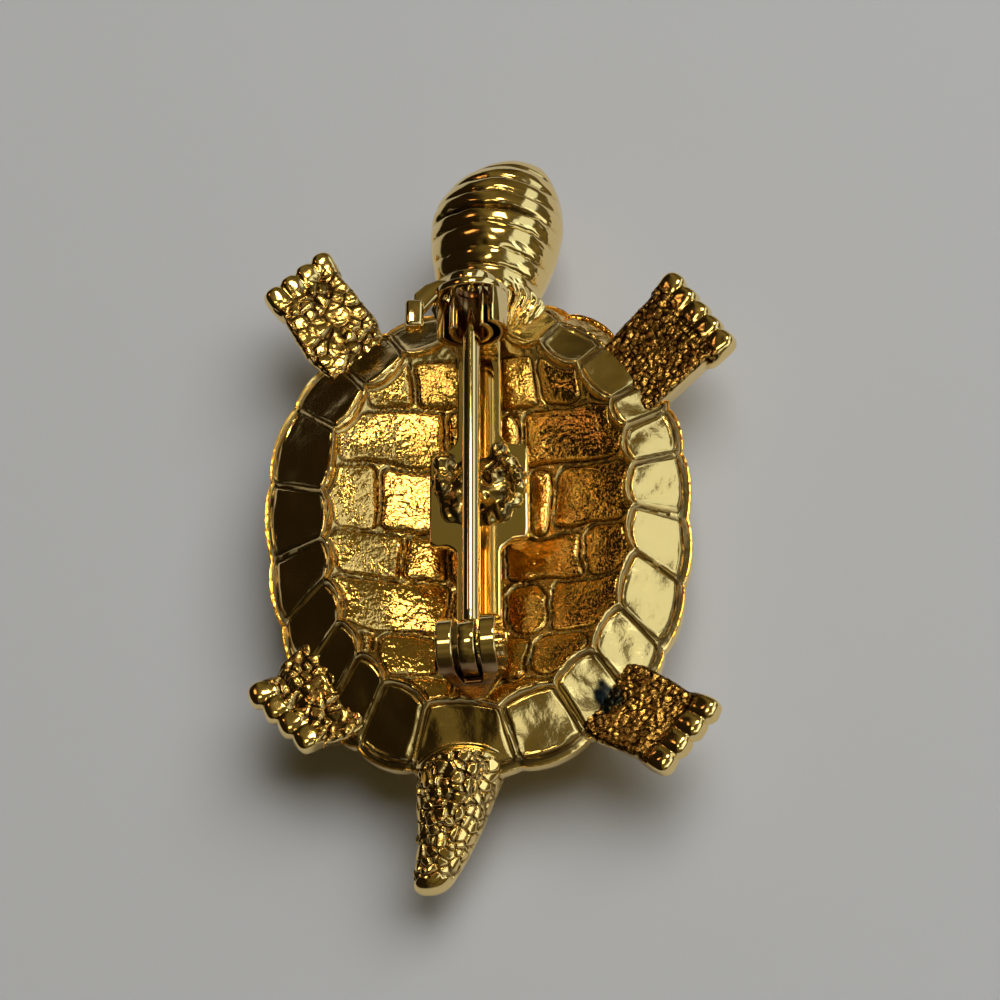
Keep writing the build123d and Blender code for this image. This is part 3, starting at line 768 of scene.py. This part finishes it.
# each foot's place as shares of the shell's size, heading, shares of length, ankle and front, slant of
# the toes and their number, then the size, height and slope of the chips of its sole, how sandy it is,
# which way it leans and how often it is smoothed
feetRows = {
    "frontLeft": ((-0.702, 0.918), 121, (0.88, 0.90, 0.86), 10, 4, (0.8, 0.15, 0.08), 0.3, 9, 4),
    "frontRight": ((0.711, 0.570), 42, (1.04, 1.00, 1.20), -10, 5, (0.36, 0.06, 0.09), 0.85, -6, 2),
    "rearLeft": ((-0.741, -0.624), 206, (0.52, 1.24, 0.98), 16, 4, (0.74, 0.17, 0.1), 0.2, 0, 4),
    "rearRight": ((0.665, -0.793), -34, (0.75, 0.95, 0.90), -9, 4, (0.34, 0.05, 0.08), 0.8, -6, 2),
}


def makeFoot(key):
    look = feetLook
    place, heading, shares, slant, toeCount, sole, sandiness, roll, rounds = feetRows[key]
    length, ankle, spread = (share * look[side] for share, side in zip(shares, ("length", "halfAnkle", "halfFront")))
    chipSize, chipHeight, chipSlope = sole
    lean, thick, toeZone = radians(slant), look["thickness"], look["toeZone"]
    # sole: a cube drawn out to a fan, its ends turned by the slant of the toes
    deselect()
    bpy.ops.mesh.primitive_cube_add(size=1, location=(0, 0, -thick / 2))
    piece = freshPiece("foot" + key[0].upper() + key[1:])
    bpy.ops.transform.resize(value=(1, 2 * ankle, thick))
    applyPlace()
    pickFaces(piece, lambda middle, way: way.x > 0.5)
    bpy.ops.transform.translate(value=(-0.5, 0, 0))
    extrude(length * 0.5, 0, 0)
    bpy.ops.transform.resize(value=(1, 0.5 + 0.5 * spread / ankle * 0.96, 0.98))
    extrude(length * 0.5 - toeZone, 0, 0)
    bpy.ops.transform.resize(value=(1, 1.9 * spread / (ankle + spread), 1))
    bpy.ops.transform.rotate(value=-lean, orient_axis="Z", center_override=(length - toeZone, 0, 0))
    extrude(toeZone - 0.3, 0, -0.2)
    bpy.ops.transform.resize(value=(1, 1.02, 1))
    pickFaces(piece, lambda middle, way: way.x < -0.5)
    bpy.ops.transform.translate(value=(0.5 - look["root"], 0, 0))
    bpy.ops.transform.resize(value=(1, look["rootWidth"], 1))
    bpy.ops.object.mode_set(mode="OBJECT")
    spots = readPoints(piece)
    spots[:, :2] *= np.where(spots[:, 2:] < -thick + 0.3, (0.96, look["tuck"]), 1)
    spots[:, 2] -= look["toeSink"] * ((spots[:, 0] > length - 0.95) & (spots[:, 2] > -thick / 2))
    writePoints(piece, spots)
    bevelEdges(piece, look["bevel"], 4, 25)

    # toes: one blunt rib, copied along the slanted front
    parts = [piece]
    size = (look["toeLength"] / 2, spread / toeCount * look["toeFill"], look["toeHeight"])
    for index in range(toeCount):
        side = 1 - 2 * (index + 0.5) / toeCount
        deselect()
        bpy.ops.mesh.primitive_uv_sphere_add(segments=32, ring_count=20, radius=1)
        toe = bpy.context.object
        points = readPoints(toe)
        writePoints(toe, np.sign(points) * np.abs(points) ** look["toePower"] * size)
        fan = radians(look["toeFan"])
        bpy.ops.transform.rotate(value=-fan * side, orient_axis="Z", center_override=(0, 0, 0))
        bpy.ops.transform.rotate(value=fan, orient_axis="Y", center_override=(0, 0, 0))
        x = length - side * spread * sin(lean) + look["toeReach"] - look["toeLength"] / 2
        bpy.ops.transform.translate(value=(x, side * spread * 0.97 * cos(lean), look["toeLevel"]))
        applyPlace()
        parts.append(toe)
    choose(*parts)
    bpy.ops.object.join()
    meltTogether(piece, look["voxel"], 2)

    # chips on the sole, waves on the flanks
    spots, ways = readPoints(piece), readNormals(piece)
    onToes = smoothStep((spots[:, 0] - (length - 1.2) + spots[:, 1] * sin(lean)) / 0.4)
    onSole = smoothStep((ways[:, 2] - 0.1) / 0.35) * (1 - onToes)
    flank = smoothStep((0.35 - np.abs(ways[:, 2])) / 0.3)
    seed = heading * 0.37
    slope, chip = chips(spots, chipSize, seed)
    patchy = smoothStep(0.7 + 1.3 * lumps(spots, 1.7, seed + 3))
    height = ((chip - 0.9) * chipHeight + chipSlope * slope) * patchy + look["grain"] * lumps(spots, 0.2, seed)
    height = np.clip(height * onSole, look["lowest"], look["highest"])
    height += look["flank"] * lumps(spots, 1.6, seed) * flank + look["waves"] * lumps(spots, 0.6, seed + 7)
    writePoints(piece, spots + ways * height[:, None])
    soften(piece, rounds)
    where = Matrix.Translation((place[0] * look["shellSize"][0], place[1] * look["shellSize"][1], look["top"]))
    piece.data.transform(where @ Matrix.Rotation(radians(roll), 4, "Y") @ Matrix.Rotation(radians(heading), 4, "Z"))
    # tarnish between the chips, deepened into painted shade, and painted shade over the sandy soles, which face away
    # from the lamps
    between = (1 - chip) * onSole
    tarnishAndShade = between * 0.8 + look["tarnishAndShade"] * sandiness * onSole
    paintFinishAndShade(piece, 0.04 + sandiness * onSole + 0.3 * between, tarnishAndShade, stainOn(readPoints(piece)))
    return settle(piece, limbGold, 70)


feet = [makeFoot(key) for key in feetRows]
print("feet made")


# tail
tailLook = {
    "start": -12.4, "end": -20.95, "rings": 220, "segments": 180, "tipRound": 0.75, "tipBare": 0.55,
    "chipSize": 0.62, "chipHeight": 0.12, "chipSlope": 0.15, "flatRight": 0.75, "waves": 0.06,
    # the arch at the root, its bow over the width, its double line and how deep the root is sunk
    "arch": -13.25, "archBow": 0.75, "archLine": (0.1, 0.16, 0.2), "sink": 1.3,
    # distance along -Y, sideways place, half width, level of the middle, half height
    "sections": ((12.4, -1.0, 2.6, -2.3, 1.45), (13.9, -1.1, 2.6, -2.3, 1.5), (15.8, -1.56, 2.18, -2.45, 1.4),
                 (17.4, -1.9, 1.81, -2.7, 1.2), (19.0, -2.39, 1.43, -2.95, 0.98), (20.3, -2.95, 1.1, -3.15, 0.8),
                 (20.95, -3.2, 1.0, -3.25, 0.75)),
}


def tailSection(level):
    # sideways place, half width, level of the middle and half height
    table = np.array(tailLook["sections"])
    return [np.interp(level, table[:, 0], table[:, column]) for column in (1, 2, 3, 4)]


def makeTail():
    look = tailLook
    piece, share, ux, uz = sphereAlongY("tail", look["rings"], look["segments"])
    share = 1 - share   # the ball's far pole becomes the root
    level = -look["start"] + (look["start"] - look["end"]) * share
    side, wide, middle, high = tailSection(level)
    tip, blunt = -look["end"], look["tipRound"]
    close = np.sqrt(np.clip(1 - ((level - tip + blunt) / blunt).clip(0, 1) ** 2.4, 0, 1))
    root = smoothStep((level + look["start"]) / 0.5)
    bulk = np.sign(uz) * np.abs(uz) ** 0.85
    writePoints(piece, asPoints(side + ux * wide * close * root, -level, middle + bulk * high * close * root))
    recalculate(piece)
    spots, ways = readPoints(piece), readNormals(piece)
    level = -spots[:, 1]
    side, wide = tailSection(level)[:2]
    ux = np.clip((spots[:, 0] - side) / wide, -1, 1)
    # the root stands out of the last pad in an arch with a double line
    fromArch = level + look["arch"] - look["archBow"] * ux ** 2
    sink = look["sink"] * smoothStep(-fromArch / 0.35)
    up = smoothStep((ways[:, 2] + 0.3) / 0.4)
    slope, chip = chips(spots, look["chipSize"], 71.0)
    rough = up * smoothStep((tip - look["tipBare"] - level) / 0.3) * smoothStep((fromArch - 0.45) / 0.15)
    slope = slope * look["chipSlope"] * (1 - look["flatRight"] * smoothStep(2 * ux))
    height = ((chip - 0.9) * look["chipHeight"] + slope) * rough
    height += seamLine(np.abs(fromArch - 0.12), *look["archLine"]) * up
    height += look["waves"] * lumps(spots, 1.2, 73.0) * up
    spots = spots + ways * height[:, None]
    spots[:, 2] -= sink * (ways[:, 2] > 0)
    writePoints(piece, spots)
    # tarnish between the chips, its colour deepened into painted shade
    paintFinishAndShade(piece, 0.04 + rough * (0.1 + 0.3 * (1 - chip)), (1 - chip) * rough * 0.9)
    return settle(piece, limbGold, 70)


tail = makeTail()
print("tail made")


# pin-back finding
findingLook = {
    "length": 25.4, "side": 0.28, "forward": 1.2, "barWidth": 2.5, "barThick": 0.5, "barTop": 0.4,
    "plate": (5.6, 6.0), "plateCorner": 0.45, "fillet": 0.9, "pointLength": 1.9, "barBevel": 0.1, "flatBorder": 0.04,
    "stemHeight": 2.3, "earSize": 3.48, "earThick": 0.9, "earGap": 0.27, "knuckle": 0.9, "hingeSetback": 2.2,
    "bore": 0.9, "drum": 3.1, "drumGap": 0.08, "hingeVoxel": 0.055,
    "bowLean": 0.42, "bowStart": 1.1, "bowReach": 1.9, "bowDraw": 0.9, "bowPower": 1.2,
    "catchSize": 3.4, "catchWall": 0.4, "catchLength": 2.3, "catchSetback": 2.2, "mouth": (46, 190),
    "catchFoot": 0.55, "catchWide": 1.24, "ringLength": 0.42,
    "rollerGap": 0.05, "rollerSlot": 42, "collar": 1.5, "collarBore": 0.8, "endRing": (0.5, 1.05),
    # middle of the wing from the catch's axis: sideways, along the stem, and its width
    "wing": ((1.1, 0.77, 0.55), (1.9, 0.5, 1.1), (2.6, -0.15, 1.7), (3.25, -0.9, 1.9)),
    "wingTurn": 165, "wingThick": 0.6, "knob": (1.05, 1.75, 1.1), "knobReach": 3.2, "knobBack": 1.3,
}
findingPlace = Vector((findingLook["side"], findingLook["forward"], 0))
rivetY = -findingLook["length"] / 2 + findingLook["hingeSetback"]
catchY = findingLook["length"] / 2 - findingLook["catchSetback"]


def placeOnBar(piece, along, turn=0):
    # lifts a piece made about its own axis to the stem's height, that far along the bar
    place = findingPlace + Vector((0, along, findingLook["stemHeight"]))
    piece.data.transform(Matrix.Translation(place) @ Matrix.Rotation(radians(turn), 4, "Z"))


def roundedBox(name, size, middle, round, segments=3):
    deselect()
    bpy.ops.mesh.primitive_cube_add(size=1, location=middle)
    piece = freshPiece(name)
    bpy.ops.transform.resize(value=size)
    applyPlace()
    bevelEdges(piece, round, segments, 40)
    return piece


def joinPieces(name, parts):
    choose(*parts)
    bpy.ops.object.join()
    return freshPiece(name)


def cutAway(piece, cutter):
    useModifier(piece, "BOOLEAN", operation="DIFFERENCE", solver="EXACT", object=cutter)
    bpy.data.objects.remove(cutter)


def spunSheet(name, inner, outer, near, far, start, sweep, steps=72):
    # a rectangle of sheet metal spun round the Y axis, from start degrees (from +X towards +Z)
    deselect()
    bpy.ops.mesh.primitive_plane_add(size=1, location=((inner + outer) / 2, (near + far) / 2, 0))
    piece = freshPiece(name)
    bpy.ops.transform.resize(value=(outer - inner, far - near, 1))
    applyPlace()
    editAll(piece)
    bpy.ops.mesh.select_mode(type="VERT")
    if sweep == 360:
        bpy.ops.mesh.delete(type="ONLY_FACE")
        bpy.ops.mesh.select_all(action="SELECT")
    bpy.ops.mesh.spin(steps=steps, dupli=False, angle=radians(sweep), center=(0, 0, 0), axis=(0, 1, 0))
    bpy.ops.object.mode_set(mode="OBJECT")
    recalculate(piece)
    piece.data.transform(Matrix.Rotation(-radians(start), 4, "Y"))
    bevelEdges(piece, 0.09, 3, 50)
    return piece


def makeBar():
    # half of the outline: rounded plate, fillets into the bar, and a pointed end under the hinge
    look = findingLook
    top, thick = look["barTop"], look["barThick"]
    width, length = look["plate"]
    half, fillet, corner, end = look["barWidth"] / 2, look["fillet"], look["plateCorner"], look["length"] / 2
    rim = [(half - 0.35, end), (half - 0.1, end - 0.1), (half, end - 0.35)]
    arc = [radians(90 * step / 6) for step in range(7)]
    shoulder = [(half + fillet * (1 - cos(turn)), length / 2 + fillet * 0.9 * (1 - sin(turn))) for turn in arc]
    shoulder += [(width / 2 - corner + corner * sin(turn), length / 2 - corner + corner * cos(turn)) for turn in arc]
    rim += shoulder + [(x, -y) for x, y in reversed(shoulder)]
    for share in (0, 0.2, 0.4, 0.6, 0.75, 0.87, 0.95):
        rim.append((half * (1 - share ** 2.2), -end + look["pointLength"] * (1 - share)))
    rim += [(-x, y) for x, y in reversed(rim)]
    deselect()
    bpy.ops.mesh.primitive_circle_add(vertices=len(rim), radius=1, fill_type="NGON")
    piece = freshPiece("findingBar")
    writePoints(piece, [(x, y, top - thick) for x, y in reversed(rim)])
    editAll(piece)
    extrude(0, 0, thick)
    bpy.ops.object.mode_set(mode="OBJECT")
    recalculate(piece)
    bevelEdges(piece, look["barBevel"], 3, 50)
    # a narrow border keeps the wide faces flat in the light
    pickFaces(piece, lambda middle, way: abs(way.z) > 0.999)
    bpy.ops.mesh.inset(thickness=look["flatBorder"])
    bpy.ops.object.mode_set(mode="OBJECT")
    piece.data.transform(Matrix.Translation(findingPlace))
    return settle(piece, findingGold, 40)


solderLook = {
    # place, size and height of the lumps that run together over the plate
    "lumps": ((0.0, 0.1, 2.35, 0.4), (-2.0, 2.2, 0.75, 0.75), (-2.05, 1.2, 0.7, 0.65), (-1.9, 0.6, 0.55, 0.55),
              (1.2, 2.5, 0.6, 0.55), (1.75, 1.7, 0.65, 0.75), (2.15, 0.9, 0.6, 0.75), (2.3, 0.1, 0.5, 0.6),
              (0.6, -1.5, 0.55, 0.45), (1.4, -1.3, 0.6, 0.55), (2.1, -0.8, 0.5, 0.5), (0.9, 0.9, 0.6, 0.8),
              (-0.5, 0.8, 0.9, 0.65), (-0.9, -0.8, 0.8, 0.5)),
    "post": 1.95, "postLength": 2.9, "postMiddle": -1.1, "voxel": 0.07, "rounds": 22,
    # the last of these darkens the solder in random tarnish patches
    "run": ((0.24, 1.3, 81.0), (0.07, 0.5, 83.0)), "pit": 0.08, "pitSize": 0.6, "tarnishAndShade": 0.8,
}


def makeSolder():
    # blobs of solder melted together over the plate, with a post of it down to the dish
    look = solderLook
    parts = []
    for x, y, size, height in look["lumps"]:
        deselect()
        place = (x, y, findingLook["barTop"] - 0.05)
        bpy.ops.mesh.primitive_uv_sphere_add(segments=24, ring_count=14, radius=size, location=place)
        bpy.ops.transform.resize(value=(1, 1, height / size))
        applyPlace()
        parts.append(bpy.context.object)
    deselect()
    bpy.ops.mesh.primitive_cylinder_add(vertices=48, radius=look["post"], depth=look["postLength"],
                                        location=(0, 0, look["postMiddle"]))
    parts.append(bpy.context.object)
    piece = joinPieces("solder", parts)
    meltTogether(piece, look["voxel"], look["rounds"])
    points, ways = readPoints(piece), readNormals(piece)
    pits = smoothStep((lumps(points, look["pitSize"], 87.0) - 0.3) / 0.15)
    writePoints(piece, points + ways * (layers(points, look["run"]) - look["pit"] * pits)[:, None])
    # darker in random patches of tarnish, and tarnish deepened into painted shade in the pits
    tarnishAndShade = smoothStep(0.5 + 1.5 * lumps(points, 1.0, 85.0))
    paintFinishAndShade(piece, 0.03, np.clip(look["tarnishAndShade"] * tarnishAndShade + pits, 0, 1))
    piece.data.transform(Matrix.Translation(findingPlace))
    return settle(piece, limbGold, 70)


def hingePaintedShade(forward, up):
    # painted shade: darker at the front and below, where the faces turn away from the lamps
    return 0.9 * smoothStep((0.2 - 0.87 * forward - 0.48 * up) / 1.2)


def cylinderAlongX(radius, depth, middle=0):
    deselect()
    bpy.ops.mesh.primitive_cylinder_add(vertices=96, radius=radius, depth=depth, location=(middle, 0, 0),
                                        rotation=(0, pi / 2, 0))
    return bpy.context.object


def makeHinge():
    # two ears joined in front like the bow of a boat, bored for the rivet
    look = findingLook
    radius, height, thick = look["earSize"] / 2, look["stemHeight"], look["earThick"]
    inner = look["knuckle"] / 2 + look["earGap"]
    base = look["barTop"] - 0.1
    parts = []
    for side in (-1, 1):
        ear = cylinderAlongX(radius, thick, side * (inner + thick / 2))
        applyPlace()
        points = readPoints(ear)
        # the lower half of the disc runs straight down to the bar in front and flares a little behind
        low = points[:, 2] < 0
        points[:, 1] = np.where(low & (points[:, 1] < 0), np.minimum(points[:, 1], -radius + 0.02), points[:, 1])
        points[:, 2] = np.where(low, points[:, 2] / radius * (height - base), points[:, 2])
        writePoints(ear, points)
        parts.append(ear)
    span = 2 * (inner + thick)
    parts.append(roundedBox("hingeWall", (span, 0.55, 1.45), (0, -radius + 0.275, base - height + 0.725), 0.1))
    parts.append(roundedBox("hingeBase", (span, 2 * radius, 0.3), (0, 0, base - height + 0.15), 0.05))
    piece = joinPieces("hingeEars", parts)
    meltTogether(piece, look["hingeVoxel"], 4)
    points = readPoints(piece)
    # leant forward and drawn in towards the foot of the bow
    front = smoothStep((-points[:, 1] - 0.4) / 1.2)
    points[:, 1] -= look["bowLean"] * front * np.clip(-points[:, 2] / height, 0, 1)
    down = np.clip((-0.866 * points[:, 1] - 0.5 * points[:, 2] - look["bowStart"]) / look["bowReach"], 0, 1)
    points[:, 0] *= 1 - look["bowDraw"] * down ** look["bowPower"]
    writePoints(piece, points)
    # painted shade on the front and lower faces of the ears
    paintFinishAndShade(piece, 0.04, hingePaintedShade(points[:, 1], points[:, 2]))
    for radius, depth in ((look["bore"] / 2, 2 * span), (look["drum"] / 2 + look["drumGap"], 2 * inner)):
        cutAway(piece, cylinderAlongX(radius, depth))
    placeOnBar(piece, rivetY)
    return settle(piece, findingGold, 50)


def makeKnuckle():
    # the drum round the eye of the stem
    look = findingLook
    inner, outer, half = look["bore"] / 2, look["drum"] / 2, look["knuckle"] / 2 + 0.02
    piece = spunSheet("stemKnuckle", inner, outer, -half, half, 0, 360, 96)
    points = readPoints(piece)
    # painted shade on the front and lower faces of the drum
    paintFinishAndShade(piece, 0.04, hingePaintedShade(points[:, 0], points[:, 2]))
    placeOnBar(piece, rivetY, 90)
    return settle(piece, findingGold, 35, "stem")


def makeCatch():
    # outer tube of the safety catch: a wide C of sheet metal on a foot, closed to a ring at its far end
    look = findingLook
    start, end = look["mouth"]
    length, size, wall = look["catchLength"], look["catchSize"], look["catchWall"]
    tube = spunSheet("tube", size / 2 - wall, size / 2, -length / 2, length / 2, end, 360 - (end - start))
    ring = spunSheet("ring", size / 2 - wall, size / 2, length / 2 - 0.02, length / 2 + look["ringLength"], 0, 360)
    foot = roundedBox("catchFoot", (look["catchFoot"] * size, length, 0.4), (0, 0, 0.62 - look["stemHeight"]), 0.1)
    piece = joinPieces("catchTube", [tube, ring, foot])
    points = readPoints(piece)
    # painted shade on the inner faces of the tube and ring
    paintFinishAndShade(piece, 0.04, np.hypot(points[:, 0], points[:, 2]) < size / 2 - wall + 0.1)
    points[:, 0] *= look["catchWide"]
    writePoints(piece, points)
    placeOnBar(piece, catchY)
    return settle(piece, findingGold, 35)


def makeRoller():
    # inner tube with a slot, an end ring behind the catch, and a swept wing with a knob
    look = findingLook
    half, slot = look["catchLength"] / 2, look["rollerSlot"]
    outer = look["catchSize"] / 2 - look["catchWall"] - look["rollerGap"]
    inner = outer - look["catchWall"]
    near, far = look["endRing"]
    tube = spunSheet("rollerTube", inner, outer, -half, half + near + 0.1, 90 + slot, 360 - 2 * slot)
    collar = spunSheet("collar", look["collarBore"], look["collar"], half + near, half + far, 0, 360)
    deselect()
    bpy.ops.mesh.primitive_cube_add(size=1)
    wing = freshPiece("wing")
    rows = look["wing"]
    applyPlace()
    for _ in rows[2:]:
        pickFaces(wing, lambda middle, way: way.x > 0.5)
        extrude(1, 0, 0)
    bpy.ops.object.mode_set(mode="OBJECT")
    points = readPoints(wing)
    index = np.clip(np.round(points[:, 0] + 0.5).astype(int), 0, len(rows) - 1)
    reach, along, wide = np.array(rows)[index].T
    writePoints(wing, asPoints(reach, half + along + points[:, 1] * wide, points[:, 2] * look["wingThick"]))
    bevelEdges(wing, 0.14, 3, 30)
    knob = roundedBox("knob", look["knob"], (look["knobReach"], half - look["knobBack"], 0), 0.26, 4)
    for part in (wing, knob):
        part.data.transform(Matrix.Rotation(-radians(look["wingTurn"]), 4, "Y"))
    piece = joinPieces("catchRoller", [tube, collar, wing, knob])
    points = readPoints(piece)
    # painted shade on the inner faces of the roller's tube and the collar's bore
    paintFinishAndShade(piece, 0.04, np.hypot(points[:, 0], points[:, 2]) < inner + 0.1)
    placeOnBar(piece, catchY)
    return settle(piece, findingGold, 35, "roller")


findingBar = makeBar()
solder = makeSolder()
hingeEars = makeHinge()
stemKnuckle = makeKnuckle()
catchTube = makeCatch()
catchRoller = makeRoller()
print("finding made")

castPieces = [plastron, marginScutes, carapace, head, tail] + feet
findingPieces = [findingBar, solder, hingeEars, catchTube]
for piece in castPieces + findingPieces:
    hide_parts("turtle_casting")
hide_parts("catch_roller")
for node in ("joint_rivet", "pin_stem"):
    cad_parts[node].data.materials.clear()
    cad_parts[node].data.materials.append(findingGold)


# floor, light and camera
stageLook = {
    "floor": (0.6, 0.605, 0.61, 1), "floorRoughness": 0.9, "floorSize": 3,
    # darkest and brightest of the patchy room, the size of its patches, and which way it is in shade
    "dark": (0.012, 0.008, 0.003, 1), "bright": (0.14, 0.11, 0.04, 1), "ramp": (0.3, 0.68), "patches": 2.2,
    "shade": (-0.6, -0.2), "lightCentre": (0, 0, 0.006),
}
# towards the light, which way its width runs, distance, size, power, colour, shown in the gold or on the floor
lights = {
    "window": ((0.663, 0.33, 0.669), (0.09, 0.854, -0.513), 0.6, (0.75, 0.24), 0.46, (0.88, 1.0, 1.0), True),
    "glow": ((0.72, -0.34, 0.6), (0, 1, 0), 0.6, (0.38, 0.34), 0.46, (0.92, 1.0, 0.95), True),
    "sheen": ((0.3, -0.5, 0.81), (0, 1, 0), 0.6, (0.2, 0.2), 0.1, (0.92, 1.0, 0.95), True),
    "lamp": ((0.1, 0.42, 0.9), (0, 1, 0), 0.6, (0.12, 0.12), 0.6, (1.0, 0.84, 0.46), True),
    "spark": ((-0.12, 0.04, 0.99), (0, 1, 0), 0.6, (0.1, 0.1), 0.2, (1.0, 0.8, 0.42), True),
    "ember": ((-0.46, 0.42, 0.78), (0, 1, 0), 0.6, (0.07, 0.07), 0.036, (1.0, 0.5, 0.2), True),
    "fill": ((0.45, 0.3, 0.84), (0, 1, 0), 0.7, (0.7, 0.7), 4.6, (0.98, 0.99, 1.0), False),
}


def turnTo(right, back):
    # axes of a light or camera that looks against back, its width along right
    right, back = Vector(right), Vector(back).normalized()
    right = (right - back * right.dot(back)).normalized()
    return Matrix((right, back.cross(right), back)).transposed()


for name, (way, along, distance, size, power, colour, shown) in lights.items():
    place = Vector(way).normalized() * distance + Vector(stageLook["lightCentre"])
    bpy.ops.object.light_add(type="AREA", location=place)
    light = bpy.context.object
    light.name = name
    light.data.shape = "RECTANGLE"
    light.data.size, light.data.size_y = size
    light.data.energy = power
    light.data.color = colour
    light.rotation_euler = turnTo(along, way).to_euler()
    light.visible_glossy = shown
    light.visible_diffuse = not shown

world = bpy.data.worlds.new("room")
bpy.context.scene.world = world
world.use_nodes = True
nodes, links = world.node_tree.nodes, world.node_tree.links
direction = nodes.new("ShaderNodeTexCoord").outputs["Generated"]
patches = nodes.new("ShaderNodeTexNoise")
patches.inputs["Scale"].default_value = stageLook["patches"]
patches.inputs["Detail"].default_value = 2
room = nodes.new("ShaderNodeValToRGB")
for element, position, key in zip(room.color_ramp.elements, stageLook["ramp"], ("dark", "bright")):
    element.position, element.color = position, stageLook[key]
split = nodes.new("ShaderNodeSeparateXYZ")
shade = nodes.new("ShaderNodeMapRange")
shade.inputs["From Min"].default_value, shade.inputs["From Max"].default_value = stageLook["shade"]
shaded = nodes.new("ShaderNodeMath")
shaded.operation = "MULTIPLY"
links.new(direction, patches.inputs["Vector"])
links.new(direction, split.inputs["Vector"])
links.new(split.outputs["X"], shade.inputs["Value"])
links.new(patches.outputs["Fac"], shaded.inputs[0])
links.new(shade.outputs["Result"], shaded.inputs[1])
links.new(shaded.outputs["Value"], room.inputs["Fac"])
links.new(room.outputs["Color"], nodes["Background"].inputs["Color"])
bpy.context.scene.view_settings.view_transform = "Standard"   # keeps the golds as saturated as they are

deselect()
bpy.ops.mesh.primitive_plane_add(size=stageLook["floorSize"])
floor = freshPiece("floor")
paleFloor = bpy.data.materials.new("paleFloor")
paleFloor.use_nodes = True
paint = paleFloor.node_tree.nodes["Principled BSDF"]
paint.inputs["Base Color"].default_value = stageLook["floor"]
paint.inputs["Roughness"].default_value = stageLook["floorRoughness"]
floor.data.materials.append(paleFloor)

cameraLook = {
    "right": (0.9787, -0.0037, -0.2063), "back": (0.1777, -0.4929, 0.852),
    "target": (0.674, -0.749, 6.468), "distance": 200.0, "lens": 130.3, "sensor": 36, "clip": (0.01, 10),
}
cameraData = bpy.data.cameras.new("camera")
camera = bpy.data.objects.new("camera", cameraData)
bpy.context.scene.collection.objects.link(camera)
back = Vector(cameraLook["back"]).normalized()
spot = (Vector(cameraLook["target"]) + back * cameraLook["distance"]) * 0.001
camera.matrix_world = Matrix.Translation(spot) @ turnTo(cameraLook["right"], back).to_4x4()
cameraData.lens = cameraLook["lens"]
cameraData.sensor_width = cameraLook["sensor"]
cameraData.clip_start, cameraData.clip_end = cameraLook["clip"]
bpy.context.scene.camera = camera
print("stage made")
